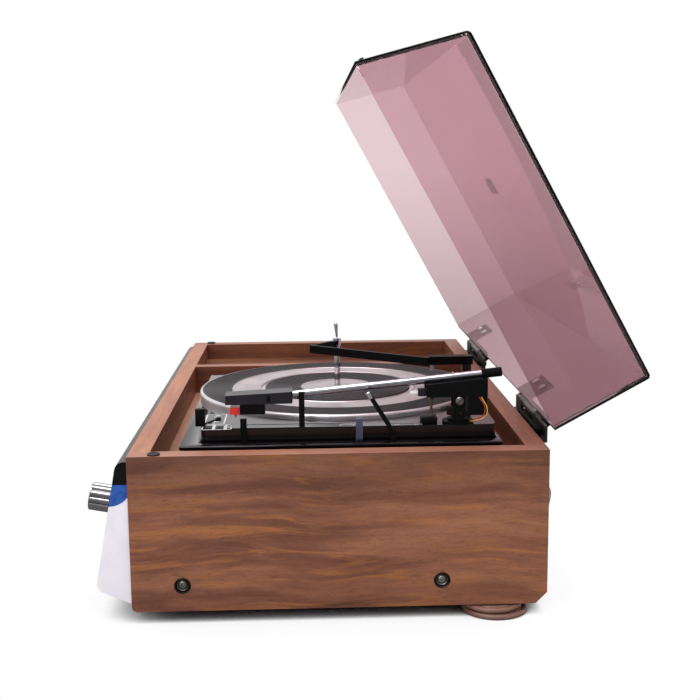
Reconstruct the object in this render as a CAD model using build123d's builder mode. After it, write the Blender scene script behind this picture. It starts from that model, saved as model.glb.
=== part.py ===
"""A compact stereo: walnut cabinet, record changer, receiver front and a tinted dust cover.

Millimetres, +Z up. The front faces -Y and the listener's right hand is +X. The origin lies on
the floor under the middle of the cabinet. The cover stands open and the tonearm is on its rest.
"""

import os
from math import atan2, cos, degrees, hypot, pi, radians, sin, tan

from build123d import *

os.makedirs("parts", exist_ok=True)


# Cabinet
cabinet_height = 137.5
board = 18
foot_height = 11
foot_radius = 12
foot_taper = 6
foot_inset_x = 130
foot_inset_y = 40
panel_round = 5
panel_chip = 10
rail_height = 48
divider_thickness = 15
divider_height = 46
tray_width = 156
tray_drop = 20
tray_thickness = 8
motor_board_drop = 32
motor_board_thickness = 12
base_thickness = 10
back_panel_thickness = 3
back_panel_inset = 1
bumper_radius = 5.5
bumper_height = 1.8
bumper_inset_x = 6.5
bumper_inset_y = 22.5
vent_length = 22
vent_width = 3.2
vent_pitch = 9
vent_rows = 2
vent_columns = 20
vent_centre_x = -130
vent_centre_drop = 29.5

# Shared clearances
cut_over = 2
running_gap = 0.05
seat_gap = 0.3

# Side screws in cup washers
side_screw_rise = 23
side_screw_front_y = -136
side_screw_back_y = 88
cup_radius = 6.5
cup_depth = 4.5
cup_wall = 1
screw_head_radius = 4.2
screw_head_height = 2.2
screw_radius = 2.5
screw_end_past = 6

# Dust cover and its hinges
cover_front_setback = 8
cover_back_setback = 2
cover_rim_rise = 2
cover_height = 93
cover_front_lean = 14
cover_wall = 3
cover_edge_radius = 4
cover_open_angle = 61.3
badge_width = 40
badge_depth = 18
badge_thickness = 1.2
badge_from_front = 148
hinge_axis_behind = 13.2
hinge_axis_rise = 4.2
hinge_from_end = 130
hinge_length = 144
hinge_barrel_radius = 5
hinge_first_knuckle = 30
hinge_clip_length = 57.4
hinge_last_knuckle = 24
hinge_leaf_thickness = 2.5
hinge_leaf_drop = 40
hinge_shelf_drop = 6
hinge_lip_rise = 7
hinge_lip_reach = 10
hinge_notch_drop = 2
hinge_pin_radius = 1.6
hinge_pin_head = 1.5
clip_thickness = 1.5
clip_height = 26
clip_tongue = 2.6
hinge_screw_radius = 1.7
hinge_screw_length = 14
hinge_screw_head_radius = 3.6
hinge_screw_head_height = 1.8
hinge_screw_pitch = 52
hinge_screw_drop = 24

# Record changer deck
deck_left_gap = 66
deck_right_gap = 9
deck_front_gap = 23.5
deck_back_gap = 17.5
deck_left_margin = 13
deck_right_margin = 45
deck_front_margin = 3
deck_drop = 2
deck_thickness = 2
deck_skirt = 22
deck_corner = 12
deck_edge = 3
mount_inset = 16
mount_radius = 9
mount_waist = 6
motor_opening_margin = 30
escutcheon_width = 60
escutcheon_right_gap = 18
escutcheon_front_gap = 17.5
escutcheon_back_gap = 3.5
escutcheon_height = 15
escutcheon_wall = 2
escutcheon_corner = 6
escutcheon_platter_gap = 3.5

# Platter
platter_radius = 140
platter_rise = 19.5
platter_rim_height = 12.5
platter_rim_wall = 2.5
platter_disc = 3
platter_lip = 2.3
mat_thickness = 2
mat_gap = 0.3
outer_mat_width = 29.4
trim_ring_width = 29.7
groove_width = 4
inner_mat_width = 36
trim_thickness = 1.7
hub_radius = 13
sleeve_radius = 8
sleeve_flange_radius = 14
sleeve_flange = 1.9
sleeve_below = 14
sleeve_top_gap = 0.5
hub_thrust_gap = 0.1
spindle_radius = 3.1
spindle_rise = 62
spindle_below = 22
spindle_block_radius = 4.2
spindle_block_height = 6.5
spindle_neck_radius = 0.9
spindle_tip_radius = 2.2
spindle_tip_height = 15.5
spindle_tip_round = 1
spindle_tip_shift = 1.2
spindle_cap_gap = 0.5

# Drive
idler_radius = 22
idler_thickness = 5
idler_rise = 8
idler_stud_radius = 2
idler_edge = 0.5
idler_angle = 150
drive_gap = 0.1
pulley_radius = 4
pulley_step_radius = 2.9
pulley_step_height = 6
pulley_angle = -60
pulley_hole_radius = 10
pulley_shaft_radius = 1.6
motor_width = 52
motor_depth = 44
motor_height = 36
motor_hang = 12
motor_lug_radius = 4
motor_lug_inset = 6
motor_corner = 8
rotor_depth = 14

# Record overarm
overarm_bearing = 55.342
overarm_from_platter = 7.709
overarm_bush_radius = 7.5
overarm_bush_height = 6
overarm_shaft_radius = 4.5
overarm_shaft_below = 22
overarm_pin_radius = 2.5
overarm_rise = 55
overarm_bar_height = 8
overarm_bar_width = 3.2
overarm_block_width = 12
overarm_block_back = 5
overarm_block_front = 36
overarm_elbow_side = 10
overarm_elbow_front = 39
overarm_tip_side = -75
overarm_tip_front = 148
overarm_hook_side = -103
overarm_hook_front = 124

# Tonearm, with heights above the deck plate
arm_from_edge = 10
arm_from_back = 33
arm_pivot_rise = 36.5
arm_slope = 5.5
arm_tube_radius = 3.5
arm_front_reach = 147
arm_tube_front_rise = 42.4
arm_back_reach = 21
arm_stub_radius = 4.2
arm_stub_length = 18
arm_base_radius = 14
arm_base_flange = 2
arm_bearing_radius = 7
arm_bearing_gap = 0.2
arm_bearing_below = 18
arm_shaft_radius = 4
yoke_radius = 9.5
yoke_thickness = 2
yoke_float = 0.3
yoke_cheek = 2
yoke_cheek_offset = 8
yoke_cheek_depth = 10
yoke_cheek_over = 4
housing_width = 24
housing_wall = 2
housing_front_reach = 29
housing_back_reach = 25
housing_bottom_rise = 40
tube_sink = 1
weight_width = 19
weight_behind_pivot = 8.5
weight_bottom_rise = 23
pivot_head_radius = 3.6
pivot_head_height = 1.5
pivot_screw_radius = 1.5
headshell_length = 59.4
headshell_width = 20
headshell_front_bottom = 35.8
headshell_front_top = 44
headshell_back_bottom = 36.3
headshell_back_top = 46.8
headshell_wall = 1.5
headshell_gap = 0.6
headshell_round = 2.5
cartridge_width = 15
cartridge_setback = 13
cartridge_length = 22
cartridge_bottom_rise = 26.5
cartridge_height = 8.5
cartridge_neck = 12
cartridge_neck_top = 42.3
stylus_depth = 8.7
stylus_width = 10
stylus_bottom_rise = 26
stylus_height = 6.4
stylus_gap = 0.3
stylus_pin_radius = 1.4
stylus_pin_length = 6
needle_length = 3.8
needle_radius = 1.2
needle_point = 0.3
needle_back = 4
rest_behind_headshell = 8.1
rest_depth = 5
rest_left = 5
rest_right = 9.5
rest_prong_gap = 0.5
rest_prong_rise = 46
rest_seat_gap = 0.4

# Control levers
start_pivot_in_x = 23
start_pivot_in_y = 13
start_pivot_radius = 2
start_arm_width = 7
start_arm_thickness = 2
start_tab_width = 6
start_tab_depth = 8.5
start_tab_height = 15.7
start_tab_over = 0.75
lever_x_gap = 1.2
lever_slot_gap = 0.5
speed_lever_thickness = 3
speed_lever_width = 5.5
speed_lever_from_front = 38.25
speed_lever_rise = 24
speed_lever_below = 8
speed_travel = 7
speed_grip_thickness = 5
speed_grip_height = 9
size_lever_from_front = 140
size_lever_width = 6
size_lever_thickness = 5.8
size_lever_bottom = 5
size_lever_rise = 23
size_stem_thickness = 2.2
size_travel = 7
cue_pivot_from_front = 170
cue_pivot_rise = 6
cue_pivot_radius = 1.5
cue_boss_radius = 3.5
cue_lever_gap = 1
cue_lever_thickness = 3
cue_lever_width = 4
cue_knee_reach = 4
cue_knee_rise = 16.5
cue_tip_reach = 21.4
cue_tip_rise = 44.5
cue_stud_over = 1.5

# Front panel, with heights above the cabinet's underside
front_end_gap = 2
front_lean = 10.6
front_top_drop = 4.7
front_bottom_rise = 7
front_toe_rise = 13
front_top_reach = 9.267
front_shoulder_radius = 8
front_foot_radius = 9
front_wall = 2
front_cheek = 3
visor_height = 19.8
lens_radius = 20
lens_centre_out = 16
lens_centre_drop = 18.8
lens_gap = 0.1
pointer_ledge_depth = 7
pointer_ledge_drop = 22
pointer_ledge_thickness = 2
pointer_ledge_from_left = 48
pointer_ledge_from_right = 68
pointer_gap = 0.2
pointer_foot_width = 8
pointer_foot_height = 3
pointer_width = 1.6
pointer_height = 13
pointer_depth = 1.2
knob_gap = 1.5
knob_shaft_radius = 3
knob_shaft_behind = 15
tuning_from_end = 40
tuning_rise = 89.4
tuning_radius = 11.5
tuning_length = 19
knob_edge = 1.2
small_knob_radius = 9
small_knob_length = 15
control_rise = 48
knob_pitch = 44
treble_from_end = 160
power_from_end = 53
button_pitch = 40
button_width = 18
button_height = 9
button_out = 6
button_behind = 12
button_gap = 0.3
button_edge = 1

# Receiver inside
chassis_depth = 300
chassis_flange = 40
chassis_sheet = 1.2
standoff_radius = 3
standoff_height = 8
circuit_width = 220
circuit_depth = 150
circuit_thickness = 1.6
circuit_x = -60
circuit_y = -20
standoff_inset = 8
capacitor_radius = 8
capacitor_height = 26
capacitor_pitch = 30
transformer_width = 66
transformer_depth = 46
transformer_height = 54
transformer_from_end = 67
transformer_y = 60
coil_bulge = 9
socket_count = 4
socket_pitch = 18
socket_from_end = 136
socket_rise = 58
socket_plate = 1.5
socket_flange_radius = 6.5
socket_barrel_radius = 4.2
socket_bore_radius = 1.6
socket_length = 9

# Mains lead
cord_radius = 2.3
gland_x = -110
gland_rise = 22
gland_flange_radius = 7.5
gland_flange = 2
gland_neck_radius = 6
gland_end_radius = 3.2
gland_length = 24
coil_right_x = 291
coil_centre_y = 137
coil_run = 35
coil_outer_radius = 27.7
coil_pitch = 5.2
coil_layer_rise = 5.2
coil_turns = 3
coil_lead_in = 8
plug_width = 18
plug_height = 9.5
plug_length = 27
plug_round = 2.5
blade_width = 6.3
blade_thickness = 1.5
blade_length = 16
blade_pitch = 12.7
lead_points = [(-110, 225, 33), (-108, 243, 18), (-98, 258, 2.3), (-70, 263, 2.3),
               (-28, 253, 2.3), (22, 238, 2.3), (74, 212, 2.3), (124, 189, 2.3),
               (170, 173, 2.3), (211, 164.7, 2.3)]
tail_points = [(224, 109.3, 7.5), (196, 107, 3.4), (168, 101, 2.3), (140, 88, 2.3),
               (117, 67, 3), (104, 41, 4.75), (98, 15, 4.75)]

# Places worked out from the sizes
deck_width = deck_left_margin + platter_radius * 2 + deck_right_margin
deck_depth = deck_front_margin + platter_radius * 2
bay_width = deck_left_gap + deck_width + deck_right_gap
cabinet_width = tray_width + divider_thickness + bay_width + board * 2
cabinet_depth = deck_front_gap + deck_depth + deck_back_gap + board * 2
rim_z = foot_height + cabinet_height
half_x = cabinet_width / 2
inner_x = half_x - board
front_y = -cabinet_depth / 2
back_y = cabinet_depth / 2
inner_y = back_y - board
tray_right = tray_width - inner_x
motor_bay_left = tray_right + divider_thickness
rail_bottom_z = rim_z - rail_height
base_top_z = foot_height + base_thickness
panel_back_y = back_y - back_panel_inset
panel_front_y = panel_back_y - back_panel_thickness
deck_z = rim_z - deck_drop
deck_right = inner_x - deck_right_gap
deck_left = deck_right - deck_width
deck_back = inner_y - deck_back_gap
deck_front = deck_back - deck_depth
deck_x = (deck_left + deck_right) / 2
deck_y = (deck_front + deck_back) / 2
platter_x = deck_left + deck_left_margin + platter_radius
platter_y = deck_back - platter_radius
platter_top = deck_z + platter_rise
escutcheon_z = deck_z + escutcheon_height
escutcheon_right = deck_right - escutcheon_right_gap
escutcheon_left = escutcheon_right - escutcheon_width
escutcheon_front = deck_front + escutcheon_front_gap
escutcheon_back = deck_back - escutcheon_back_gap
lever_x = escutcheon_right + lever_x_gap
speed_lever_y = escutcheon_front + speed_lever_from_front
size_lever_y = escutcheon_front + size_lever_from_front
cue_pivot_y = escutcheon_front + cue_pivot_from_front
start_pivot_x = escutcheon_left + start_pivot_in_x
start_pivot_y = escutcheon_front + start_pivot_in_y
start_tab_centre_y = escutcheon_front - start_tab_over
overarm_out = platter_radius + overarm_from_platter
overarm_x = platter_x + overarm_out * cos(radians(overarm_bearing))
overarm_y = platter_y + overarm_out * sin(radians(overarm_bearing))
arm_x = escutcheon_right - arm_from_edge
arm_pivot_y = escutcheon_back - arm_from_back
arm_tube_front_y = arm_pivot_y - arm_front_reach
arm_tube_back_y = arm_pivot_y + arm_back_reach
housing_front_y = arm_pivot_y - housing_front_reach
housing_back_y = arm_pivot_y + housing_back_reach
weight_front_y = arm_pivot_y + weight_behind_pivot
headshell_back_y = arm_tube_front_y - headshell_gap
headshell_front_y = headshell_back_y - headshell_length
cartridge_front_y = headshell_front_y + cartridge_setback
rest_y = headshell_back_y + rest_behind_headshell
hinge_x = half_x - hinge_from_end
front_width = cabinet_width - front_end_gap * 2
half_front = front_width / 2


def upright(x, y):
    """A plane through (x, y) that faces the front, for profiles turned about a vertical axis."""
    return Plane(origin=(x, y, 0), x_dir=(1, 0, 0), z_dir=(0, -1, 0))


def vertical_axis(x, y):
    """The vertical line through (x, y)."""
    return Axis((x, y, 0), (0, 0, 1))


def corner_box(low, high, mode=Mode.ADD):
    """A box between two opposite corners, added to or cut from the part being built."""
    size = [high[i] - low[i] for i in range(3)]
    middle = [(high[i] + low[i]) / 2 for i in range(3)]
    with Locations(tuple(middle)):
        return Box(*size, mode=mode)


def round_bar(x, y, low, high, radius, mode=Mode.ADD):
    """A vertical round bar or bore at (x, y) from low to high."""
    with Locations((x, y, (low + high) / 2)):
        return Cylinder(radius, high - low, mode=mode)


# Side panels, with a rounded front foot, a cut back foot and two screw recesses
side_screw_ys = (side_screw_front_y, side_screw_back_y)
side_screw_z = foot_height + side_screw_rise
with BuildPart() as side_panel_right:
    with BuildSketch(Plane.YZ.offset(inner_x)) as panel_outline:
        with Locations((0, foot_height + cabinet_height / 2)):
            Rectangle(cabinet_depth, cabinet_height)
        low_corners = panel_outline.vertices().group_by(Axis.Y)[0].sort_by(Axis.X)
        fillet(low_corners[0], panel_round)
        low_corners = panel_outline.vertices().sort_by(Axis.X).group_by(Axis.X)[-1].sort_by(Axis.Y)
        chamfer(low_corners[0], panel_chip)
    extrude(amount=board)
    with BuildSketch(Plane.YZ.offset(half_x)):
        with Locations(*[(y, side_screw_z) for y in side_screw_ys]):
            Circle(cup_radius)
    extrude(amount=-cup_depth, mode=Mode.SUBTRACT)
    with BuildSketch(Plane.YZ.offset(half_x)):
        with Locations(*[(y, side_screw_z) for y in side_screw_ys]):
            Circle(screw_radius)
    extrude(amount=-board - cut_over, mode=Mode.SUBTRACT)
side_panel_right.part.label = "side_panel_right"
export_step(side_panel_right.part, "parts/side_panel_right.step")

with BuildPart() as side_panel_left:
    mirror(side_panel_right.part, about=Plane.YZ)
side_panel_left.part.label = "side_panel_left"
export_step(side_panel_left.part, "parts/side_panel_left.step")

# Screws that hold the receiver chassis through the side panels, each in a cup washer
with BuildPart() as side_screws:
    for side in (1, -1):
        for y in side_screw_ys:
            facing = Plane(origin=(side * half_x, y, side_screw_z), x_dir=(0, 1, 0),
                           z_dir=(side, 0, 0))
            with BuildSketch(facing.offset(-cup_depth)):
                Circle(cup_radius)
            extrude(amount=cup_wall)
            with BuildSketch(facing.offset(-cup_depth)):
                Circle(cup_radius)
                Circle(cup_radius - cup_wall, mode=Mode.SUBTRACT)
            extrude(amount=cup_depth)
            with BuildSketch(facing.offset(cup_wall - cup_depth)):
                Circle(screw_head_radius)
            extrude(amount=screw_head_height)
            with BuildSketch(facing.offset(-cup_depth)):
                Circle(screw_radius)
            extrude(amount=cup_depth - board - screw_end_past)
side_screws.part.label = "side_screws"
export_step(side_screws.part, "parts/side_screws.step")

# Hinge screws go through the hinge bases into the back rail
hinge_screw_z = rim_z - hinge_screw_drop
hinge_screw_xs = [side * hinge_x + step * hinge_screw_pitch
                  for side in (-1, 1) for step in (-1, 0, 1)]

# Front and back rails close the well and carry the rim
with BuildPart() as end_rails:
    corner_box((-inner_x, front_y, rail_bottom_z), (inner_x, front_y + board, rim_z))
    corner_box((-inner_x, inner_y, rail_bottom_z), (inner_x, back_y, rim_z))
    with BuildSketch(Plane.XZ.offset(-back_y)):
        with Locations(*[(x, hinge_screw_z) for x in hinge_screw_xs]):
            Circle(hinge_screw_radius)
    extrude(amount=hinge_screw_length, mode=Mode.SUBTRACT)
end_rails.part.label = "end_rails"
export_step(end_rails.part, "parts/end_rails.step")

with BuildPart() as tray_divider:
    corner_box((tray_right, -inner_y, rim_z - divider_height), (motor_bay_left, inner_y, rim_z))
tray_divider.part.label = "tray_divider"
export_step(tray_divider.part, "parts/tray_divider.step")

with BuildPart() as tray_floor:
    corner_box((-inner_x, -inner_y, rim_z - tray_drop - tray_thickness),
               (tray_right, inner_y, rim_z - tray_drop))
tray_floor.part.label = "tray_floor"
export_step(tray_floor.part, "parts/tray_floor.step")

# Motor board with an opening for the changer's underside
motor_board_top = rim_z - motor_board_drop
with BuildPart() as motor_board:
    corner_box((motor_bay_left, -inner_y, motor_board_top - motor_board_thickness),
               (inner_x, inner_y, motor_board_top))
    corner_box((deck_left + motor_opening_margin, deck_front + motor_opening_margin,
                motor_board_top - motor_board_thickness - cut_over),
               (deck_right - motor_opening_margin, deck_back - motor_opening_margin,
                motor_board_top + cut_over), mode=Mode.SUBTRACT)
motor_board.part.label = "motor_board"
export_step(motor_board.part, "parts/motor_board.step")

with BuildPart() as base_board:
    corner_box((-inner_x, front_y + front_wall, foot_height), (inner_x, panel_front_y, base_top_z))
base_board.part.label = "base_board"
export_step(base_board.part, "parts/base_board.step")

# Back panel with rows of vent slots, socket holes and the cord hole
socket_z = foot_height + socket_rise
socket_xs = [half_x - socket_from_end - step * socket_pitch for step in range(socket_count)]
gland_z = foot_height + gland_rise
vent_z = rail_bottom_z - vent_centre_drop
with BuildPart() as back_panel:
    corner_box((-inner_x, panel_front_y, foot_height), (inner_x, panel_back_y, rail_bottom_z))
    with BuildSketch(Plane.XZ.offset(-panel_back_y)):
        with Locations((vent_centre_x, vent_z)):
            with GridLocations(vent_pitch, vent_length + vent_pitch, vent_columns, vent_rows):
                SlotOverall(vent_length, vent_width, rotation=90)
        with Locations(*[(x, socket_z) for x in socket_xs]):
            Circle(socket_barrel_radius)
    extrude(amount=back_panel_thickness + cut_over, both=True, mode=Mode.SUBTRACT)
back_panel.part.label = "back_panel"
export_step(back_panel.part, "parts/back_panel.step")

# Four tapered feet under the base and two small bumpers under the cover's front corners
foot_x = half_x - foot_inset_x
foot_y = back_y - foot_inset_y
with BuildPart() as rubber_pads:
    with BuildSketch(Plane.XY.offset(foot_height)):
        with GridLocations(foot_x * 2, foot_y * 2, 2, 2):
            Circle(foot_radius)
    extrude(amount=-foot_height, taper=foot_taper)
    with BuildSketch(Plane.XY.offset(rim_z)):
        with Locations(*[(side * (half_x - bumper_inset_x), front_y + bumper_inset_y)
                         for side in (-1, 1)]):
            Circle(bumper_radius)
    extrude(amount=bumper_height)
rubber_pads.part.label = "rubber_pads"
export_step(rubber_pads.part, "parts/rubber_pads.step")

# The cover is drawn on planes that turn with it about the hinge axis
axis_y = back_y + hinge_axis_behind
axis_z = rim_z + hinge_axis_rise
open_sin = sin(radians(cover_open_angle))
open_cos = cos(radians(cover_open_angle))
cover_plane = Plane(origin=(0, axis_y, axis_z), x_dir=(1, 0, 0), z_dir=(0, open_sin, open_cos))
cover_up = Axis((0, axis_y, axis_z), (0, open_sin, open_cos))
cover_front = front_y + cover_front_setback - axis_y
cover_back = back_y - cover_back_setback - axis_y
cover_low = cover_rim_rise - hinge_axis_rise
cover_high = cover_low + cover_height
cover_top_front = cover_front + cover_height * tan(radians(cover_front_lean))


def cover_section(x):
    """The plane across the cover at x, with the cover's depth and height as its two axes."""
    return Plane(origin=(x, axis_y, axis_z), x_dir=(0, open_cos, -open_sin), z_dir=(1, 0, 0))


with BuildPart() as dust_cover:
    with BuildSketch(cover_section(-half_x)):
        with BuildLine():
            Polyline((cover_front, cover_low), (cover_top_front, cover_high),
                     (cover_back, cover_high), (cover_back, cover_low), close=True)
        make_face()
    extrude(amount=cabinet_width)
    rim_edges = dust_cover.faces().sort_by(cover_up)[0].edges()
    fillet([edge for edge in dust_cover.edges() if edge not in rim_edges], cover_edge_radius)
    offset(amount=-cover_wall, openings=dust_cover.faces().sort_by(cover_up)[0])
dust_cover.part.label = "dust_cover"
export_step(dust_cover.part, "parts/dust_cover.step")

with BuildPart() as lid_badge:
    with BuildSketch(cover_plane.offset(cover_high)):
        with Locations((0, cover_top_front + badge_from_front)):
            RectangleRounded(badge_width, badge_depth, badge_thickness)
    extrude(amount=badge_thickness)
lid_badge.part.label = "lid_badge"
export_step(lid_badge.part, "parts/lid_badge.step")

# Hinge bases: a leaf on the back rail, a shelf, a lip and two knuckles each
hinge_starts = [side * hinge_x - hinge_length / 2 for side in (-1, 1)]
clip_start = hinge_first_knuckle + seat_gap
clip_end = clip_start + hinge_clip_length
last_start = clip_end + seat_gap
leaf_back = back_y + hinge_leaf_thickness
lip_back = back_y + hinge_lip_reach
lip_front = lip_back - hinge_leaf_thickness
shelf_z = rim_z - hinge_shelf_drop
with BuildPart() as hinge_bases:
    for start in hinge_starts:
        with BuildSketch(Plane.YZ.offset(start)):
            with BuildLine():
                Polyline((back_y, rim_z - hinge_leaf_drop), (leaf_back, rim_z - hinge_leaf_drop),
                         (leaf_back, shelf_z - hinge_leaf_thickness),
                         (lip_back, shelf_z - hinge_leaf_thickness),
                         (lip_back, rim_z + hinge_lip_rise), (lip_front, rim_z + hinge_lip_rise),
                         (lip_front, shelf_z), (back_y, shelf_z), close=True)
            make_face()
        extrude(amount=hinge_length)
        for low, length in ((0, hinge_first_knuckle), (last_start, hinge_last_knuckle)):
            with BuildSketch(Plane.YZ.offset(start + low)):
                with Locations((axis_y, axis_z)):
                    Circle(hinge_barrel_radius)
            extrude(amount=length)
        corner_box((start + hinge_first_knuckle, lip_front - cut_over, rim_z - hinge_notch_drop),
                   (start + last_start, lip_back + cut_over, rim_z + hinge_lip_rise + cut_over),
                   mode=Mode.SUBTRACT)
        with BuildSketch(Plane.YZ.offset(start - cut_over)):
            with Locations((axis_y, axis_z)):
                Circle(hinge_pin_radius)
        extrude(amount=hinge_length + cut_over, mode=Mode.SUBTRACT)
    with BuildSketch(Plane.XZ.offset(-leaf_back - cut_over)):
        with Locations(*[(x, hinge_screw_z) for x in hinge_screw_xs]):
            Circle(hinge_screw_radius)
    extrude(amount=hinge_leaf_thickness + cut_over * 2, mode=Mode.SUBTRACT)
hinge_bases.part.label = "hinge_bases"
export_step(hinge_bases.part, "parts/hinge_bases.step")

# Hinge clips: a plate on the cover's back wall, a tongue and one knuckle each
with BuildPart() as hinge_clips:
    for start in hinge_starts:
        with BuildSketch(cover_section(start + clip_start)):
            with BuildLine():
                Polyline((cover_back, -clip_tongue / 2), (0, -clip_tongue / 2),
                         (0, clip_tongue / 2), (cover_back + clip_thickness, clip_tongue / 2),
                         (cover_back + clip_thickness, clip_height),
                         (cover_back, clip_height), close=True)
            make_face()
            Circle(hinge_barrel_radius)
            Circle(hinge_pin_radius + running_gap, mode=Mode.SUBTRACT)
        extrude(amount=hinge_clip_length)
hinge_clips.part.label = "hinge_clips"
export_step(hinge_clips.part, "parts/hinge_clips.step")

# Hinge pins with round heads, and the screws of the hinge bases
pin_length = last_start + hinge_last_knuckle
with BuildPart() as hinge_fasteners:
    for start in hinge_starts:
        with BuildSketch(Plane.YZ.offset(start)):
            with Locations((axis_y, axis_z)):
                Circle(hinge_pin_radius)
        extrude(amount=pin_length)
        for end, length in ((start, -hinge_pin_head), (start + pin_length, hinge_pin_head)):
            with BuildSketch(Plane.YZ.offset(end)):
                with Locations((axis_y, axis_z)):
                    Circle(hinge_pin_radius * 2)
            extrude(amount=length)
    with BuildSketch(Plane.XZ.offset(-leaf_back)):
        with Locations(*[(x, hinge_screw_z) for x in hinge_screw_xs]):
            Circle(hinge_screw_radius)
    extrude(amount=hinge_leaf_thickness + hinge_screw_length)
    with BuildSketch(Plane.XZ.offset(-leaf_back)):
        with Locations(*[(x, hinge_screw_z) for x in hinge_screw_xs]):
            Circle(hinge_screw_head_radius)
    extrude(amount=-hinge_screw_head_height)
hinge_fasteners.part.label = "hinge_fasteners"
export_step(hinge_fasteners.part, "parts/hinge_fasteners.step")

# Drive places: the idler touches the inside of the platter rim and the motor pulley
rim_inner_radius = platter_radius - platter_rim_wall
idler_reach = rim_inner_radius - drive_gap - idler_radius
idler_x = platter_x + idler_reach * cos(radians(idler_angle))
idler_y = platter_y + idler_reach * sin(radians(idler_angle))
pulley_reach = idler_radius + pulley_radius + drive_gap
pulley_x = idler_x + pulley_reach * cos(radians(pulley_angle))
pulley_y = idler_y + pulley_reach * sin(radians(pulley_angle))
idler_z = deck_z + idler_rise

# Deck plate: a stamped pan with a skirt, an idler stud and a bush for the overarm
speed_slot = speed_lever_width + speed_travel * 2 + lever_slot_gap * 2
size_slot = size_lever_width + size_travel * 2 + lever_slot_gap * 2
with BuildPart() as deck_plate:
    with BuildSketch(Plane.XY.offset(deck_z - deck_skirt)):
        with Locations((deck_x, deck_y)):
            RectangleRounded(deck_width, deck_depth, deck_corner)
    extrude(amount=deck_skirt)
    fillet(deck_plate.faces().sort_by(Axis.Z)[-1].edges(), deck_edge)
    with BuildSketch(Plane.XY.offset(deck_z - deck_skirt)):
        with Locations((deck_x, deck_y)):
            RectangleRounded(deck_width - deck_thickness * 2, deck_depth - deck_thickness * 2,
                             deck_corner - deck_thickness)
    extrude(amount=deck_skirt - deck_thickness, mode=Mode.SUBTRACT)
    round_bar(idler_x, idler_y, deck_z - deck_thickness, idler_z + idler_thickness,
              idler_stud_radius)
    round_bar(overarm_x, overarm_y, deck_z - deck_thickness, deck_z + overarm_bush_height,
              overarm_bush_radius)
    hole_low = deck_z - deck_thickness - cut_over
    hole_high = deck_z + cut_over
    round_bar(overarm_x, overarm_y, hole_low, deck_z + overarm_bush_height + cut_over,
              overarm_shaft_radius + running_gap, mode=Mode.SUBTRACT)
    round_bar(platter_x, platter_y, hole_low, hole_high, sleeve_radius, mode=Mode.SUBTRACT)
    round_bar(pulley_x, pulley_y, hole_low, hole_high, pulley_hole_radius, mode=Mode.SUBTRACT)
    round_bar(arm_x, arm_pivot_y, hole_low, hole_high, arm_bearing_radius + arm_bearing_gap,
              mode=Mode.SUBTRACT)
    for y, thickness, length in ((speed_lever_y, speed_lever_thickness, speed_slot),
                                 (size_lever_y, size_stem_thickness, size_slot)):
        corner_box((lever_x - lever_slot_gap, y - length / 2, hole_low),
                   (lever_x + thickness + lever_slot_gap, y + length / 2, hole_high),
                   mode=Mode.SUBTRACT)
deck_plate.part.label = "deck_plate"
export_step(deck_plate.part, "parts/deck_plate.step")

# Waisted rubber mounts between the motor board and the deck plate
mount_low = motor_board_top
mount_high = deck_z - deck_thickness
with BuildPart() as deck_mounts:
    for x in (deck_left + mount_inset, deck_right - mount_inset):
        for y in (deck_front + mount_inset, deck_back - mount_inset):
            with BuildSketch(upright(x, y)):
                with BuildLine():
                    Polyline((0, mount_low), (mount_radius, mount_low),
                             (mount_waist, (mount_low + mount_high) / 2),
                             (mount_radius, mount_high), (0, mount_high), close=True)
                make_face()
            revolve(axis=vertical_axis(x, y))
deck_mounts.part.label = "deck_mounts"
export_step(deck_mounts.part, "parts/deck_mounts.step")

# Escutcheon: a raised shell along the right of the deck, cut back round the platter
with BuildPart() as escutcheon:
    with BuildSketch(Plane.XY.offset(deck_z)):
        with Locations(((escutcheon_left + escutcheon_right) / 2,
                        (escutcheon_front + escutcheon_back) / 2)):
            RectangleRounded(escutcheon_width, escutcheon_back - escutcheon_front,
                             escutcheon_corner)
        with Locations((platter_x, platter_y)):
            Circle(platter_radius + escutcheon_platter_gap, mode=Mode.SUBTRACT)
        with Locations((overarm_x, overarm_y)):
            Circle(overarm_bush_radius + escutcheon_platter_gap, mode=Mode.SUBTRACT)
    extrude(amount=escutcheon_height)
    offset(amount=-escutcheon_wall, openings=escutcheon.faces().sort_by(Axis.Z)[0])
    round_bar(arm_x, arm_pivot_y, deck_z, escutcheon_z + cut_over,
              arm_bearing_radius + arm_bearing_gap, mode=Mode.SUBTRACT)
    round_bar(start_pivot_x, start_pivot_y, deck_z, escutcheon_z + cut_over,
              start_pivot_radius + running_gap, mode=Mode.SUBTRACT)
    with BuildSketch(Plane.YZ.offset(escutcheon_right)):
        with Locations((cue_pivot_y, deck_z + cue_pivot_rise)):
            Circle(cue_pivot_radius)
    extrude(amount=cue_lever_gap + cue_lever_thickness + cue_stud_over)
escutcheon.part.label = "escutcheon"
export_step(escutcheon.part, "parts/escutcheon.step")

# Bearing sleeve that the platter turns on
metal_z = platter_top - mat_thickness
with BuildPart() as bearing_sleeve:
    with BuildSketch(upright(platter_x, platter_y)):
        with BuildLine():
            Polyline((spindle_radius, deck_z - sleeve_below), (sleeve_radius, deck_z - sleeve_below),
                     (sleeve_radius, deck_z), (sleeve_flange_radius, deck_z),
                     (sleeve_flange_radius, deck_z + sleeve_flange),
                     (sleeve_radius, deck_z + sleeve_flange),
                     (sleeve_radius, metal_z - sleeve_top_gap),
                     (spindle_radius, metal_z - sleeve_top_gap), close=True)
        make_face()
    revolve(axis=vertical_axis(platter_x, platter_y))
bearing_sleeve.part.label = "bearing_sleeve"
export_step(bearing_sleeve.part, "parts/bearing_sleeve.step")

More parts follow.
